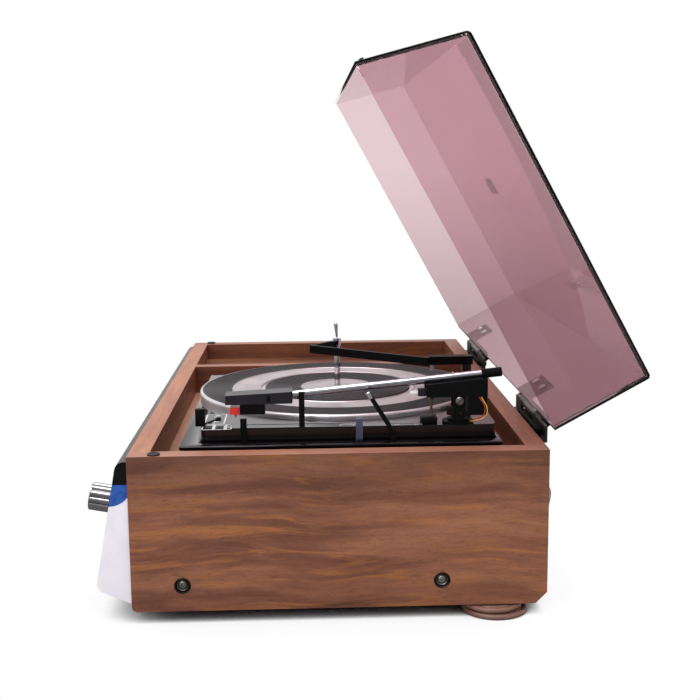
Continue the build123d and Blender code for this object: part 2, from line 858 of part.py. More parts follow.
# Changer spindle: a round shaft, a shoulder block and a thin offset tip
shoulder_z = deck_z + spindle_rise
block_top = shoulder_z + spindle_block_height
with BuildPart() as record_spindle:
    round_bar(platter_x, platter_y, deck_z - spindle_below, shoulder_z, spindle_radius)
    round_bar(platter_x, platter_y, shoulder_z, block_top, spindle_block_radius)
    with BuildSketch(Plane.XY.offset(block_top)):
        with Locations((platter_x, platter_y)):
            Circle(spindle_neck_radius)
    with BuildSketch(Plane.XY.offset(block_top + spindle_tip_height)):
        with Locations((platter_x, platter_y - spindle_tip_shift)):
            Circle(spindle_tip_radius)
    loft()
    fillet(record_spindle.faces().sort_by(Axis.Z)[-1].edges(), spindle_tip_round)
record_spindle.part.label = "record_spindle"
export_step(record_spindle.part, "parts/record_spindle.step")

# Platter: a pressed pan with a deep rim and a hub
hub_bottom = deck_z + sleeve_flange + hub_thrust_gap
hub_bore = sleeve_radius + running_gap
disc_under = metal_z - platter_disc
lip_inner = platter_radius - platter_lip
mat_inner_radius = lip_inner - mat_gap - outer_mat_width
trim_inner_radius = mat_inner_radius - mat_gap - trim_ring_width
groove_inner_radius = trim_inner_radius - groove_width
cap_radius = groove_inner_radius - inner_mat_width
platter_rim_bottom = platter_top - platter_rim_height
with BuildPart() as platter:
    with BuildSketch(upright(platter_x, platter_y)):
        with BuildLine():
            Polyline((hub_bore, metal_z), (lip_inner, metal_z), (lip_inner, platter_top),
                     (platter_radius, platter_top), (platter_radius, platter_rim_bottom),
                     (rim_inner_radius, platter_rim_bottom), (rim_inner_radius, disc_under),
                     (hub_radius, disc_under), (hub_radius, hub_bottom),
                     (hub_bore, hub_bottom), close=True)
        make_face()
    revolve(axis=vertical_axis(platter_x, platter_y))
platter.part.label = "platter"
export_step(platter.part, "parts/platter.step")

# Rubber mats in two rings, and the bright ring and centre disc between them
mat_rings = ((lip_inner - mat_gap, mat_inner_radius), (groove_inner_radius, cap_radius))
with BuildPart() as platter_mats:
    for outer, inner in mat_rings:
        with BuildSketch(Plane.XY.offset(metal_z)):
            with Locations((platter_x, platter_y)):
                Circle(outer)
                Circle(inner, mode=Mode.SUBTRACT)
        extrude(amount=mat_thickness)
platter_mats.part.label = "platter_mats"
export_step(platter_mats.part, "parts/platter_mats.step")

trim_rings = ((mat_inner_radius - mat_gap, trim_inner_radius),
              (cap_radius - mat_gap, spindle_radius + spindle_cap_gap))
with BuildPart() as platter_trim:
    for outer, inner in trim_rings:
        with BuildSketch(Plane.XY.offset(metal_z)):
            with Locations((platter_x, platter_y)):
                Circle(outer)
                Circle(inner, mode=Mode.SUBTRACT)
        extrude(amount=trim_thickness)
platter_trim.part.label = "platter_trim"
export_step(platter_trim.part, "parts/platter_trim.step")

with BuildPart() as idler_wheel:
    round_bar(idler_x, idler_y, idler_z, idler_z + idler_thickness, idler_radius)
    fillet(idler_wheel.edges().filter_by(GeomType.CIRCLE), idler_edge)
    round_bar(idler_x, idler_y, idler_z - cut_over, idler_z + idler_thickness + cut_over,
              idler_stud_radius + running_gap, mode=Mode.SUBTRACT)
idler_wheel.part.label = "idler_wheel"
export_step(idler_wheel.part, "parts/idler_wheel.step")

# Motor hung under the deck on four lugs, with a blind bore for the rotor shaft
motor_top = deck_z - deck_thickness - motor_hang
rotor_bottom = motor_top - rotor_depth
with BuildPart() as motor:
    with BuildSketch(Plane.XY.offset(motor_top - motor_height)):
        with Locations((pulley_x, pulley_y)):
            RectangleRounded(motor_width, motor_depth, motor_corner)
    extrude(amount=motor_height)
    for x in (-1, 1):
        for y in (-1, 1):
            round_bar(pulley_x + x * (motor_width / 2 - motor_lug_inset),
                      pulley_y + y * (motor_depth / 2 - motor_lug_inset),
                      motor_top - cut_over, motor_top + motor_hang, motor_lug_radius)
    round_bar(pulley_x, pulley_y, rotor_bottom, motor_top + cut_over,
              pulley_shaft_radius + running_gap, mode=Mode.SUBTRACT)
motor.part.label = "motor"
export_step(motor.part, "parts/motor.step")

with BuildPart() as motor_pulley:
    round_bar(pulley_x, pulley_y, rotor_bottom + running_gap, idler_z, pulley_shaft_radius)
    round_bar(pulley_x, pulley_y, idler_z - pulley_step_height, idler_z, pulley_step_radius)
    round_bar(pulley_x, pulley_y, idler_z, idler_z + idler_thickness, pulley_radius)
motor_pulley.part.label = "motor_pulley"
export_step(motor_pulley.part, "parts/motor_pulley.step")

# Overarm shaft that lifts in its bush, and the hooked arm that swings on its pin
overarm_z = deck_z + overarm_rise
overarm_top = overarm_z + overarm_bar_height
with BuildPart() as overarm_shaft:
    round_bar(overarm_x, overarm_y, deck_z - overarm_shaft_below, overarm_z, overarm_shaft_radius)
    round_bar(overarm_x, overarm_y, overarm_z, overarm_top, overarm_pin_radius)
overarm_shaft.part.label = "overarm_shaft"
export_step(overarm_shaft.part, "parts/overarm_shaft.step")


def overarm_point(side, front):
    """A point of the overarm in plan, measured from its pivot to the right and to the front."""
    return (overarm_x + side, overarm_y - front)


overarm_bars = [((0, overarm_block_front), (overarm_elbow_side, overarm_elbow_front)),
                ((overarm_elbow_side, overarm_elbow_front), (overarm_tip_side, overarm_tip_front)),
                ((overarm_tip_side, overarm_tip_front), (overarm_hook_side, overarm_hook_front))]
with BuildPart() as overarm_hook:
    corner_box((overarm_x - overarm_block_width / 2, overarm_y - overarm_block_front,
                overarm_z + running_gap),
               (overarm_x + overarm_block_width / 2, overarm_y + overarm_block_back, overarm_top))
    with BuildSketch(Plane.XY.offset(overarm_z + running_gap)):
        for start, end in overarm_bars:
            with BuildLine():
                Line(overarm_point(*start), overarm_point(*end))
            trace(line_width=overarm_bar_width)
        with Locations(*[overarm_point(*bar[1]) for bar in overarm_bars]):
            Circle(overarm_bar_width / 2)
    extrude(amount=overarm_bar_height - running_gap)
    round_bar(overarm_x, overarm_y, overarm_z - cut_over, overarm_top + cut_over,
              overarm_pin_radius + running_gap, mode=Mode.SUBTRACT)
overarm_hook.part.label = "overarm_hook"
export_step(overarm_hook.part, "parts/overarm_hook.step")

# Tonearm base: a flange on the escutcheon and a long bearing
yoke_z = escutcheon_z + arm_base_flange + yoke_float
with BuildPart() as arm_base:
    round_bar(arm_x, arm_pivot_y, escutcheon_z, escutcheon_z + arm_base_flange, arm_base_radius)
    round_bar(arm_x, arm_pivot_y, deck_z - arm_bearing_below, escutcheon_z, arm_bearing_radius)
    round_bar(arm_x, arm_pivot_y, deck_z - arm_bearing_below - cut_over,
              escutcheon_z + arm_base_flange + cut_over, arm_shaft_radius + running_gap,
              mode=Mode.SUBTRACT)
arm_base.part.label = "arm_base"
export_step(arm_base.part, "parts/arm_base.step")

# Yoke that swings, with two cheeks for the pivot screws
arm_pivot_z = deck_z + arm_pivot_rise
with BuildPart() as arm_yoke:
    round_bar(arm_x, arm_pivot_y, deck_z - arm_bearing_below, yoke_z, arm_shaft_radius)
    round_bar(arm_x, arm_pivot_y, yoke_z, yoke_z + yoke_thickness, yoke_radius)
    for side in (-1, 1):
        cheek_x = arm_x + side * yoke_cheek_offset
        corner_box((cheek_x - yoke_cheek / 2, arm_pivot_y - yoke_cheek_depth / 2, yoke_z),
                   (cheek_x + yoke_cheek / 2, arm_pivot_y + yoke_cheek_depth / 2,
                    arm_pivot_z + yoke_cheek_over))
    with BuildSketch(Plane.YZ.offset(arm_x)):
        with Locations((arm_pivot_y, arm_pivot_z)):
            Circle(pivot_screw_radius + running_gap)
    extrude(amount=yoke_cheek_offset + yoke_cheek, both=True, mode=Mode.SUBTRACT)
arm_yoke.part.label = "arm_yoke"
export_step(arm_yoke.part, "parts/arm_yoke.step")

# The arm tube rises gently towards the back
arm_tan = tan(radians(arm_slope))


def tube_z(y):
    """Height of the arm tube's middle at y."""
    return deck_z + arm_tube_front_rise + (y - arm_tube_front_y) * arm_tan


arm_plane = Plane(origin=(arm_x, arm_tube_front_y, tube_z(arm_tube_front_y)), x_dir=(1, 0, 0),
                  z_dir=(0, cos(radians(arm_slope)), sin(radians(arm_slope))))
arm_length = (arm_tube_back_y - arm_tube_front_y) / cos(radians(arm_slope))
with BuildPart() as arm_tube:
    with BuildSketch(arm_plane):
        Circle(arm_tube_radius)
    extrude(amount=arm_length)
arm_tube.part.label = "arm_tube"
export_step(arm_tube.part, "parts/arm_tube.step")

# Black stub behind the tube, the housing under it and the counterweight block
housing_low = deck_z + housing_bottom_rise
sink_drop = arm_tube_radius - tube_sink
with BuildPart() as arm_housing:
    with BuildSketch(Plane.YZ.offset(arm_x - housing_width / 2)):
        with BuildLine():
            Polyline((housing_front_y, housing_low),
                     (housing_front_y, tube_z(housing_front_y) - sink_drop),
                     (housing_back_y, tube_z(housing_back_y) - sink_drop),
                     (housing_back_y, housing_low), close=True)
        make_face()
    extrude(amount=housing_width)
    with BuildSketch(Plane.YZ.offset(arm_x - housing_width / 2 + housing_wall)):
        with BuildLine():
            Polyline((housing_front_y + housing_wall, housing_low - cut_over),
                     (housing_front_y + housing_wall,
                      tube_z(housing_front_y) - sink_drop - housing_wall),
                     (housing_back_y - housing_wall,
                      tube_z(housing_back_y) - sink_drop - housing_wall),
                     (housing_back_y - housing_wall, housing_low - cut_over), close=True)
        make_face()
    extrude(amount=housing_width - housing_wall * 2, mode=Mode.SUBTRACT)
    with BuildSketch(Plane.YZ.offset(arm_x)):
        with Locations((arm_pivot_y, arm_pivot_z)):
            Circle(pivot_head_radius)
    extrude(amount=housing_width / 2, both=True)
    corner_box((arm_x - housing_width / 2 + housing_wall, housing_front_y - cut_over,
                deck_z - cut_over),
               (arm_x + housing_width / 2 - housing_wall, weight_front_y,
                tube_z(housing_front_y) - sink_drop - housing_wall), mode=Mode.SUBTRACT)
    with BuildSketch(Plane.YZ.offset(arm_x)):
        with Locations((arm_pivot_y, arm_pivot_z)):
            Circle(pivot_screw_radius)
    extrude(amount=housing_width, both=True, mode=Mode.SUBTRACT)
    corner_box((arm_x - weight_width / 2, weight_front_y, deck_z + weight_bottom_rise),
               (arm_x + weight_width / 2, housing_back_y, housing_low + housing_wall))
    with BuildSketch(arm_plane):
        Circle(arm_tube_radius)
    extrude(amount=arm_length + arm_stub_length, mode=Mode.SUBTRACT)
    with BuildSketch(arm_plane.offset(arm_length)):
        Circle(arm_stub_radius)
    extrude(amount=arm_stub_length)
arm_housing.part.label = "arm_housing"
export_step(arm_housing.part, "parts/arm_housing.step")

# Pivot screws: round heads outside the housing and shanks that end in the yoke cheeks
shank_inner = yoke_cheek_offset - yoke_cheek / 2
with BuildPart() as pivot_screws:
    for side in (-1, 1):
        facing = Plane(origin=(arm_x + side * shank_inner, arm_pivot_y, arm_pivot_z),
                       x_dir=(0, 1, 0), z_dir=(side, 0, 0))
        with BuildSketch(facing):
            Circle(pivot_screw_radius)
        extrude(amount=housing_width / 2 - shank_inner)
        with BuildSketch(facing.offset(housing_width / 2 - shank_inner)):
            Circle(pivot_head_radius)
        extrude(amount=pivot_head_height)
pivot_screws.part.label = "pivot_screws"
export_step(pivot_screws.part, "parts/pivot_screws.step")

# Headshell, an open-bottomed shell
with BuildPart() as headshell:
    with BuildSketch(Plane.YZ.offset(arm_x - headshell_width / 2)):
        with BuildLine():
            Polyline((headshell_front_y, deck_z + headshell_front_bottom),
                     (headshell_front_y, deck_z + headshell_front_top),
                     (headshell_back_y, deck_z + headshell_back_top),
                     (headshell_back_y, deck_z + headshell_back_bottom), close=True)
        make_face()
    extrude(amount=headshell_width)
    fillet(headshell.edges().filter_by(Axis.Z), headshell_round)
    offset(amount=-headshell_wall, openings=headshell.faces().sort_by(Axis.Z)[0])
headshell.part.label = "headshell"
export_step(headshell.part, "parts/headshell.step")

cartridge_low = deck_z + cartridge_bottom_rise
stylus_mid_z = deck_z + stylus_bottom_rise + stylus_height / 2
with BuildPart() as cartridge:
    corner_box((arm_x - cartridge_width / 2, cartridge_front_y, cartridge_low),
               (arm_x + cartridge_width / 2, cartridge_front_y + cartridge_length,
                cartridge_low + cartridge_height))
    corner_box((arm_x - cartridge_neck / 2, cartridge_front_y, cartridge_low + cartridge_height),
               (arm_x + cartridge_neck / 2, cartridge_front_y + cartridge_length,
                deck_z + cartridge_neck_top))
    with BuildSketch(Plane.XZ.offset(-cartridge_front_y)):
        with Locations((arm_x, stylus_mid_z)):
            Circle(stylus_pin_radius + running_gap)
    extrude(amount=-stylus_pin_length - cut_over, mode=Mode.SUBTRACT)
cartridge.part.label = "cartridge"
export_step(cartridge.part, "parts/cartridge.step")

# Stylus tab that turns over, with its pin and needle
stylus_back = cartridge_front_y - stylus_gap
stylus_front_y = stylus_back - stylus_depth
needle_y = stylus_back - needle_back
needle_plane = Plane(origin=(arm_x, needle_y, deck_z + stylus_bottom_rise), x_dir=(1, 0, 0),
                     z_dir=(0, 0, -1))
with BuildPart() as stylus_tab:
    corner_box((arm_x - stylus_width / 2, stylus_front_y, deck_z + stylus_bottom_rise),
               (arm_x + stylus_width / 2, stylus_back,
                deck_z + stylus_bottom_rise + stylus_height))
    with BuildSketch(Plane.XZ.offset(-stylus_back)):
        with Locations((arm_x, stylus_mid_z)):
            Circle(stylus_pin_radius)
    extrude(amount=-stylus_pin_length)
    with BuildSketch(needle_plane):
        Circle(needle_radius)
    with BuildSketch(needle_plane.offset(needle_length)):
        Circle(needle_point)
    loft()
stylus_tab.part.label = "stylus_tab"
export_step(stylus_tab.part, "parts/stylus_tab.step")

# Arm rest: a post under the tube with one prong on its outer side
rest_front = rest_y - rest_depth / 2
rest_back = rest_y + rest_depth / 2
with BuildPart() as arm_rest:
    corner_box((arm_x - rest_left, rest_front, escutcheon_z),
               (arm_x + rest_right, rest_back, tube_z(rest_front) - arm_tube_radius - rest_seat_gap))
    corner_box((arm_x + arm_tube_radius + rest_prong_gap, rest_front, escutcheon_z),
               (arm_x + rest_right, rest_back, deck_z + rest_prong_rise))
arm_rest.part.label = "arm_rest"
export_step(arm_rest.part, "parts/arm_rest.step")

# Start lever: a flat arm on a stud with an upright square tab
start_z = escutcheon_z + seat_gap
with BuildPart() as start_lever:
    with BuildSketch(Plane.XY.offset(start_z)):
        with BuildLine():
            Line((start_pivot_x, start_pivot_y), (arm_x, start_tab_centre_y))
        trace(line_width=start_arm_width)
        with Locations((start_pivot_x, start_pivot_y)):
            Circle(start_arm_width / 2)
    extrude(amount=start_arm_thickness)
    corner_box((arm_x - start_tab_width / 2, start_tab_centre_y - start_tab_depth / 2, start_z),
               (arm_x + start_tab_width / 2, start_tab_centre_y + start_tab_depth / 2,
                start_z + start_tab_height))
    round_bar(start_pivot_x, start_pivot_y, escutcheon_z - escutcheon_wall, start_z,
              start_pivot_radius)
start_lever.part.label = "start_lever"
export_step(start_lever.part, "parts/start_lever.step")

with BuildPart() as speed_lever:
    speed_front = speed_lever_y - speed_lever_width / 2
    speed_back = speed_lever_y + speed_lever_width / 2
    corner_box((lever_x, speed_front, deck_z - speed_lever_below),
               (lever_x + speed_lever_thickness, speed_back, deck_z + speed_lever_rise))
    corner_box((lever_x, speed_front, deck_z + speed_lever_rise - speed_grip_height),
               (lever_x + speed_grip_thickness, speed_back, deck_z + speed_lever_rise))
speed_lever.part.label = "speed_lever"
export_step(speed_lever.part, "parts/speed_lever.step")

with BuildPart() as size_lever:
    size_front = size_lever_y - size_lever_width / 2
    size_back = size_lever_y + size_lever_width / 2
    corner_box((lever_x, size_front, deck_z - speed_lever_below),
               (lever_x + size_stem_thickness, size_back, deck_z + size_lever_rise))
    corner_box((lever_x, size_front, deck_z + size_lever_bottom),
               (lever_x + size_lever_thickness, size_back, deck_z + size_lever_rise))
size_lever.part.label = "size_lever"
export_step(size_lever.part, "parts/size_lever.step")

# Cueing lever: a knee on a stud at the side of the escutcheon
cue_plane = Plane.YZ.offset(escutcheon_right + cue_lever_gap)
cue_points = ((cue_pivot_y, deck_z + cue_pivot_rise), (cue_pivot_y - cue_knee_reach, deck_z + cue_knee_rise),
              (cue_pivot_y - cue_tip_reach, deck_z + cue_tip_rise))
with BuildPart() as cue_lever:
    with BuildSketch(cue_plane):
        for start, end in zip(cue_points, cue_points[1:]):
            with BuildLine():
                Line(start, end)
            trace(line_width=cue_lever_width)
        with Locations(*cue_points[1:]):
            Circle(cue_lever_width / 2)
        with Locations(cue_points[0]):
            Circle(cue_boss_radius)
            Circle(cue_pivot_radius + running_gap, mode=Mode.SUBTRACT)
    extrude(amount=cue_lever_thickness)
cue_lever.part.label = "cue_lever"
export_step(cue_lever.part, "parts/cue_lever.step")

# Front panel: one sloping section, split into visor, lens and fascia
lean_tan = tan(radians(front_lean))
lean_cos = cos(radians(front_lean))
lean_sin = sin(radians(front_lean))
front_top_z = rim_z - front_top_drop
front_low_z = foot_height + front_bottom_rise
front_toe_z = front_low_z + front_toe_rise
visor_z = front_top_z - visor_height
face_out = Axis((0, 0, 0), (0, -lean_cos, lean_sin))


def face_y(z):
    """Where the sloping face lies at height z."""
    return front_y - front_top_reach - (front_top_z - z) * lean_tan


def face_plane(x, z):
    """The plane of the sloping face at (x, z), facing outwards."""
    return Plane(origin=(x, face_y(z), z), x_dir=(1, 0, 0), z_dir=(0, -lean_cos, lean_sin))


def front_section(inset, back):
    """The front panel's side outline, drawn inwards by inset and closed at y = back."""
    shift = inset / lean_cos
    with BuildSketch(Plane.YZ) as section:
        with BuildLine():
            Polyline((back, front_top_z - inset), (face_y(front_top_z) + shift, front_top_z - inset),
                     (face_y(front_toe_z) + shift, front_toe_z + inset),
                     (back, front_low_z + inset), close=True)
        make_face()
        outer = section.vertices().sort_by(Axis.X)
        fillet(outer[0], front_foot_radius - inset)
        outer = section.vertices().filter_by_position(Axis.Y, front_top_z - inset - cut_over / 2,
                                                      front_top_z).sort_by(Axis.X)
        fillet(outer[0], front_shoulder_radius - inset)
    return section.sketch


outer_section = front_section(0, front_y)
inner_section = front_section(front_wall, front_y + cut_over)
lens_place = (front_y - lens_centre_out, front_top_z - lens_centre_drop)

with BuildPart() as dial_visor:
    extrude(outer_section, amount=front_width / 2, both=True)
    extrude(inner_section, amount=front_width / 2 - front_cheek, both=True, mode=Mode.SUBTRACT)
    split(bisect_by=Plane.XY.offset(visor_z), keep=Keep.TOP)
dial_visor.part.label = "dial_visor"
export_step(dial_visor.part, "parts/dial_visor.step")

with BuildPart() as dial_lens:
    extrude(outer_section, amount=front_width / 2, both=True)
    extrude(inner_section, amount=front_width / 2 - front_cheek, both=True, mode=Mode.SUBTRACT)
    with BuildSketch(Plane.YZ):
        with Locations(lens_place):
            Circle(lens_radius - lens_gap)
    extrude(amount=half_x, both=True, mode=Mode.INTERSECT)
    split(bisect_by=Plane.XY.offset(visor_z - lens_gap), keep=Keep.BOTTOM)
dial_lens.part.label = "dial_lens"
export_step(dial_lens.part, "parts/dial_lens.step")

# Shaft and button openings pass through the fascia
tuning_z = foot_height + tuning_rise
control_z = foot_height + control_rise
treble_x = half_front - treble_from_end
power_x = power_from_end - half_front
knob_places = {"tuning_knob": (half_front - tuning_from_end, tuning_z),
               "volume_knob": (treble_x - knob_pitch * 2, control_z),
               "bass_knob": (treble_x - knob_pitch, control_z),
               "treble_knob": (treble_x, control_z)}
button_places = {"power_button": (power_x, control_z),
                 "selector_button": (power_x + button_pitch, control_z)}
pointer_ledge_left = pointer_ledge_from_left - half_front
pointer_ledge_right = half_front - pointer_ledge_from_right
ledge_z = visor_z - pointer_ledge_drop
with BuildPart() as fascia:
    extrude(outer_section, amount=front_width / 2, both=True)
    extrude(inner_section, amount=front_width / 2 - front_cheek, both=True, mode=Mode.SUBTRACT)
    with BuildSketch(Plane.YZ):
        with Locations(lens_place):
            Circle(lens_radius)
    extrude(amount=half_x, both=True, mode=Mode.SUBTRACT)
    split(bisect_by=Plane.XY.offset(visor_z - lens_gap), keep=Keep.BOTTOM)
    corner_box((pointer_ledge_left, face_y(ledge_z) + front_wall / 2,
                ledge_z - pointer_ledge_thickness),
               (pointer_ledge_right, face_y(ledge_z) + front_wall + pointer_ledge_depth, ledge_z))
    for place in knob_places.values():
        with BuildSketch(face_plane(*place)):
            Circle(knob_shaft_radius + running_gap)
        extrude(amount=front_wall * 2, both=True, mode=Mode.SUBTRACT)
    for place in button_places.values():
        with BuildSketch(face_plane(*place)):
            Rectangle(button_width + button_gap * 2, button_height + button_gap * 2)
        extrude(amount=front_wall * 2, both=True, mode=Mode.SUBTRACT)
fascia.part.label = "fascia"
export_step(fascia.part, "parts/fascia.step")

# Dial pointer that slides on the ledge behind the lens
pointer_low = ledge_z + pointer_gap
pointer_front = face_y(ledge_z) + front_wall + pointer_ledge_depth - pointer_foot_height
pointer_x = (pointer_ledge_left + pointer_ledge_right) / 2
with BuildPart() as dial_pointer:
    corner_box((pointer_x - pointer_foot_width / 2, pointer_front, pointer_low),
               (pointer_x + pointer_foot_width / 2, pointer_front + pointer_foot_height,
                pointer_low + pointer_foot_height))
    corner_box((pointer_x - pointer_width / 2, pointer_front, pointer_low),
               (pointer_x + pointer_width / 2, pointer_front + pointer_depth,
                pointer_low + pointer_height))
dial_pointer.part.label = "dial_pointer"
export_step(dial_pointer.part, "parts/dial_pointer.step")

# Knobs on shafts square to the sloping face
for name, place in knob_places.items():
    radius = tuning_radius if name == "tuning_knob" else small_knob_radius
    length = tuning_length if name == "tuning_knob" else small_knob_length
    with BuildPart() as knob:
        with BuildSketch(face_plane(*place).offset(knob_gap)):
            Circle(radius)
        extrude(amount=length)
        fillet(knob.faces().sort_by(face_out)[-1].edges(), knob_edge)
        with BuildSketch(face_plane(*place).offset(knob_gap)):
            Circle(knob_shaft_radius)
        extrude(amount=-knob_gap - knob_shaft_behind)
    knob.part.label = name
    export_step(knob.part, f"parts/{name}.step")

# Push buttons
for name, place in button_places.items():
    with BuildPart() as button:
        with BuildSketch(face_plane(*place).offset(-button_behind)):
            Rectangle(button_width, button_height)
        extrude(amount=button_behind + button_out)
        fillet(button.faces().sort_by(face_out)[-1].edges(), button_edge)
    button.part.label = name
    export_step(button.part, f"parts/{name}.step")

# Receiver chassis: a steel tray screwed between the side panels, with board standoffs
floor_z = base_top_z + chassis_sheet
transformer_x = transformer_from_end - inner_x
half_chassis = chassis_depth / 2
standoff_x = circuit_width / 2 - standoff_inset
standoff_y = circuit_depth / 2 - standoff_inset
with BuildPart() as receiver_chassis:
    corner_box((-inner_x, -half_chassis, base_top_z), (inner_x, half_chassis, floor_z))
    for side in (-1, 1):
        edges = sorted((side * inner_x, side * (inner_x - chassis_sheet)))
        corner_box((edges[0], -half_chassis, base_top_z),
                   (edges[1], half_chassis, base_top_z + chassis_flange))
    with Locations((circuit_x, circuit_y, floor_z + standoff_height / 2)):
        with GridLocations(standoff_x * 2, standoff_y * 2, 2, 2):
            Cylinder(standoff_radius, standoff_height)
    with BuildSketch(Plane.YZ):
        with Locations(*[(y, side_screw_z) for y in side_screw_ys]):
            Circle(screw_radius)
    extrude(amount=half_x, both=True, mode=Mode.SUBTRACT)
receiver_chassis.part.label = "receiver_chassis"
export_step(receiver_chassis.part, "parts/receiver_chassis.step")

# Circuit board with a row of tall capacitors
circuit_low = floor_z + standoff_height
circuit_top = circuit_low + circuit_thickness
with BuildPart() as circuit_board:
    corner_box((circuit_x - circuit_width / 2, circuit_y - circuit_depth / 2, circuit_low),
               (circuit_x + circuit_width / 2, circuit_y + circuit_depth / 2, circuit_top))
    with Locations((circuit_x, circuit_y, circuit_top + capacitor_height / 2)):
        with GridLocations(capacitor_pitch, capacitor_pitch, 5, 2):
            Cylinder(capacitor_radius, capacitor_height)
circuit_board.part.label = "circuit_board"
export_step(circuit_board.part, "parts/circuit_board.step")

# Mains transformer: a laminated core with its winding standing out on both sides
with BuildPart() as power_transformer:
    corner_box((transformer_x - transformer_width / 2, transformer_y - transformer_depth / 2,
                floor_z),
               (transformer_x + transformer_width / 2, transformer_y + transformer_depth / 2,
                floor_z + transformer_height))
    corner_box((transformer_x - transformer_width / 4,
                transformer_y - transformer_depth / 2 - coil_bulge,
                floor_z + transformer_height / 4),
               (transformer_x + transformer_width / 4,
                transformer_y + transformer_depth / 2 + coil_bulge,
                floor_z + transformer_height * 3 / 4))
power_transformer.part.label = "power_transformer"
export_step(power_transformer.part, "parts/power_transformer.step")

# Row of phono sockets on the back panel
with BuildPart() as rear_sockets:
    for x in socket_xs:
        with BuildSketch(Plane.XZ.offset(-panel_back_y)):
            with Locations((x, socket_z)):
                Circle(socket_flange_radius)
                Circle(socket_bore_radius, mode=Mode.SUBTRACT)
        extrude(amount=-socket_plate)
        with BuildSketch(Plane.XZ.offset(-panel_front_y)):
            with Locations((x, socket_z)):
                Circle(socket_barrel_radius)
                Circle(socket_bore_radius, mode=Mode.SUBTRACT)
        extrude(amount=-back_panel_thickness - socket_length)
rear_sockets.part.label = "rear_sockets"
export_step(rear_sockets.part, "parts/rear_sockets.step")

# Strain relief on the back panel, tapering to the cord
gland_end_y = panel_back_y + gland_flange + gland_length
gland_plane = Plane(origin=(gland_x, 0, gland_z), x_dir=(1, 0, 0), z_dir=(0, 0, 1))
with BuildPart() as cord_gland:
    with BuildSketch(gland_plane):
        with BuildLine():
            Polyline((0, panel_back_y), (gland_flange_radius, panel_back_y),
                     (gland_flange_radius, panel_back_y + gland_flange),
                     (gland_neck_radius, panel_back_y + gland_flange),
                     (gland_end_radius, gland_end_y), (0, gland_end_y), close=True)
        make_face()
    revolve(axis=Axis((gland_x, 0, gland_z), (0, 1, 0)))
cord_gland.part.label = "cord_gland"
export_step(cord_gland.part, "parts/cord_gland.step")


def corner_radii(points):
    """A bend radius for each inner point of a route, as large as its two runs allow."""
    radii = []
    for before, here, after in zip(points, points[1:], points[2:]):
        run_in = Vector(*here) - Vector(*before)
        run_out = Vector(*after) - Vector(*here)
        turn = radians(run_in.get_angle(run_out))
        radii.append(0.45 * min(run_in.length, run_out.length) / tan(turn / 2))
    return radii


# The free stretch from the gland to the coil
coil_left_x = coil_right_x - coil_run
coil_low_z = cord_radius
coil_high_z = coil_low_z + coil_layer_rise
coil_start = (coil_left_x - coil_lead_in, coil_centre_y + coil_outer_radius, coil_low_z)
coil_end = (coil_left_x - coil_lead_in, coil_centre_y - coil_outer_radius, coil_high_z)
lead_route = [(gland_x, gland_end_y, gland_z)] + lead_points + [coil_start]
lead_radii = corner_radii(lead_route)
print("lead radii", [round(radius, 1) for radius in lead_radii])
with BuildPart() as cord_lead:
    with BuildLine() as lead_line:
        FilletPolyline(*lead_route, radius=lead_radii)
    lead_wire = lead_line.wire()
    with BuildSketch(Plane(origin=lead_wire @ 0, z_dir=lead_wire % 0)):
        Circle(cord_radius)
    sweep()
print("lead length", round(lead_wire.length, 1), "tube error",
      round(cord_lead.part.volume / (pi * cord_radius**2 * lead_wire.length) - 1, 4))
cord_lead.part.label = "cord_lead"
export_step(cord_lead.part, "parts/cord_lead.step")

# The oval coil: it spirals in on the floor, climbs along a run and spirals out on top
half_turns = coil_turns * 2
coil_radii = [coil_outer_radius - step * coil_pitch / 2 for step in range(half_turns)]
coil_radii = coil_radii + coil_radii[:0:-1]
with BuildPart() as cord_coil:
    with BuildLine() as coil_line:
        x, y, z = coil_start
        heading = 1
        for step, radius in enumerate(coil_radii):
            end_x = coil_right_x if heading > 0 else coil_left_x
            if step == half_turns:
                climb_radius = (coil_run**2 + coil_layer_rise**2) / (4 * coil_layer_rise)
                middle = (x + heading * coil_run / 2, y, z + coil_layer_rise / 2)
                TangentArc((x, y, z), middle, tangent=(heading, 0, 0))
                TangentArc((end_x, y, z + coil_layer_rise), middle, tangent=(-heading, 0, 0))
                z = z + coil_layer_rise
            else:
                Line((x, y, z), (end_x, y, z))
            side_y = y - heading * radius
            far_y = side_y - heading * radius
            ThreePointArc((end_x, y, z), (end_x + heading * radius, side_y, z), (end_x, far_y, z))
            x, y, heading = end_x, far_y, -heading
        Line((x, y, z), coil_end)
    with BuildSketch(Plane(origin=coil_start, z_dir=(1, 0, 0))):
        Circle(cord_radius)
    sweep()


def least_gap(wire, count, reach):
    """Least gap of a tube to itself, between points more than reach apart along it."""
    points = [wire.position_at(step / count) for step in range(count + 1)]
    skip = int(reach / wire.length * count) + 1
    distances = [(points[i] - points[j]).length
                 for i in range(count + 1) for j in range(i + skip, count + 1)]
    return min(distances) - cord_radius * 2


coil_wire = coil_line.wire()
print("coil length", round(coil_wire.length, 1), "least gap",
      round(least_gap(coil_wire, 700, coil_outer_radius * 2), 2), "smallest radius",
      round(min(coil_radii), 1), "climb radius", round(climb_radius, 1), "tube error",
      round(cord_coil.part.volume / (pi * cord_radius**2 * coil_wire.length) - 1, 4))
cord_coil.part.label = "cord_coil"
export_step(cord_coil.part, "parts/cord_coil.step")

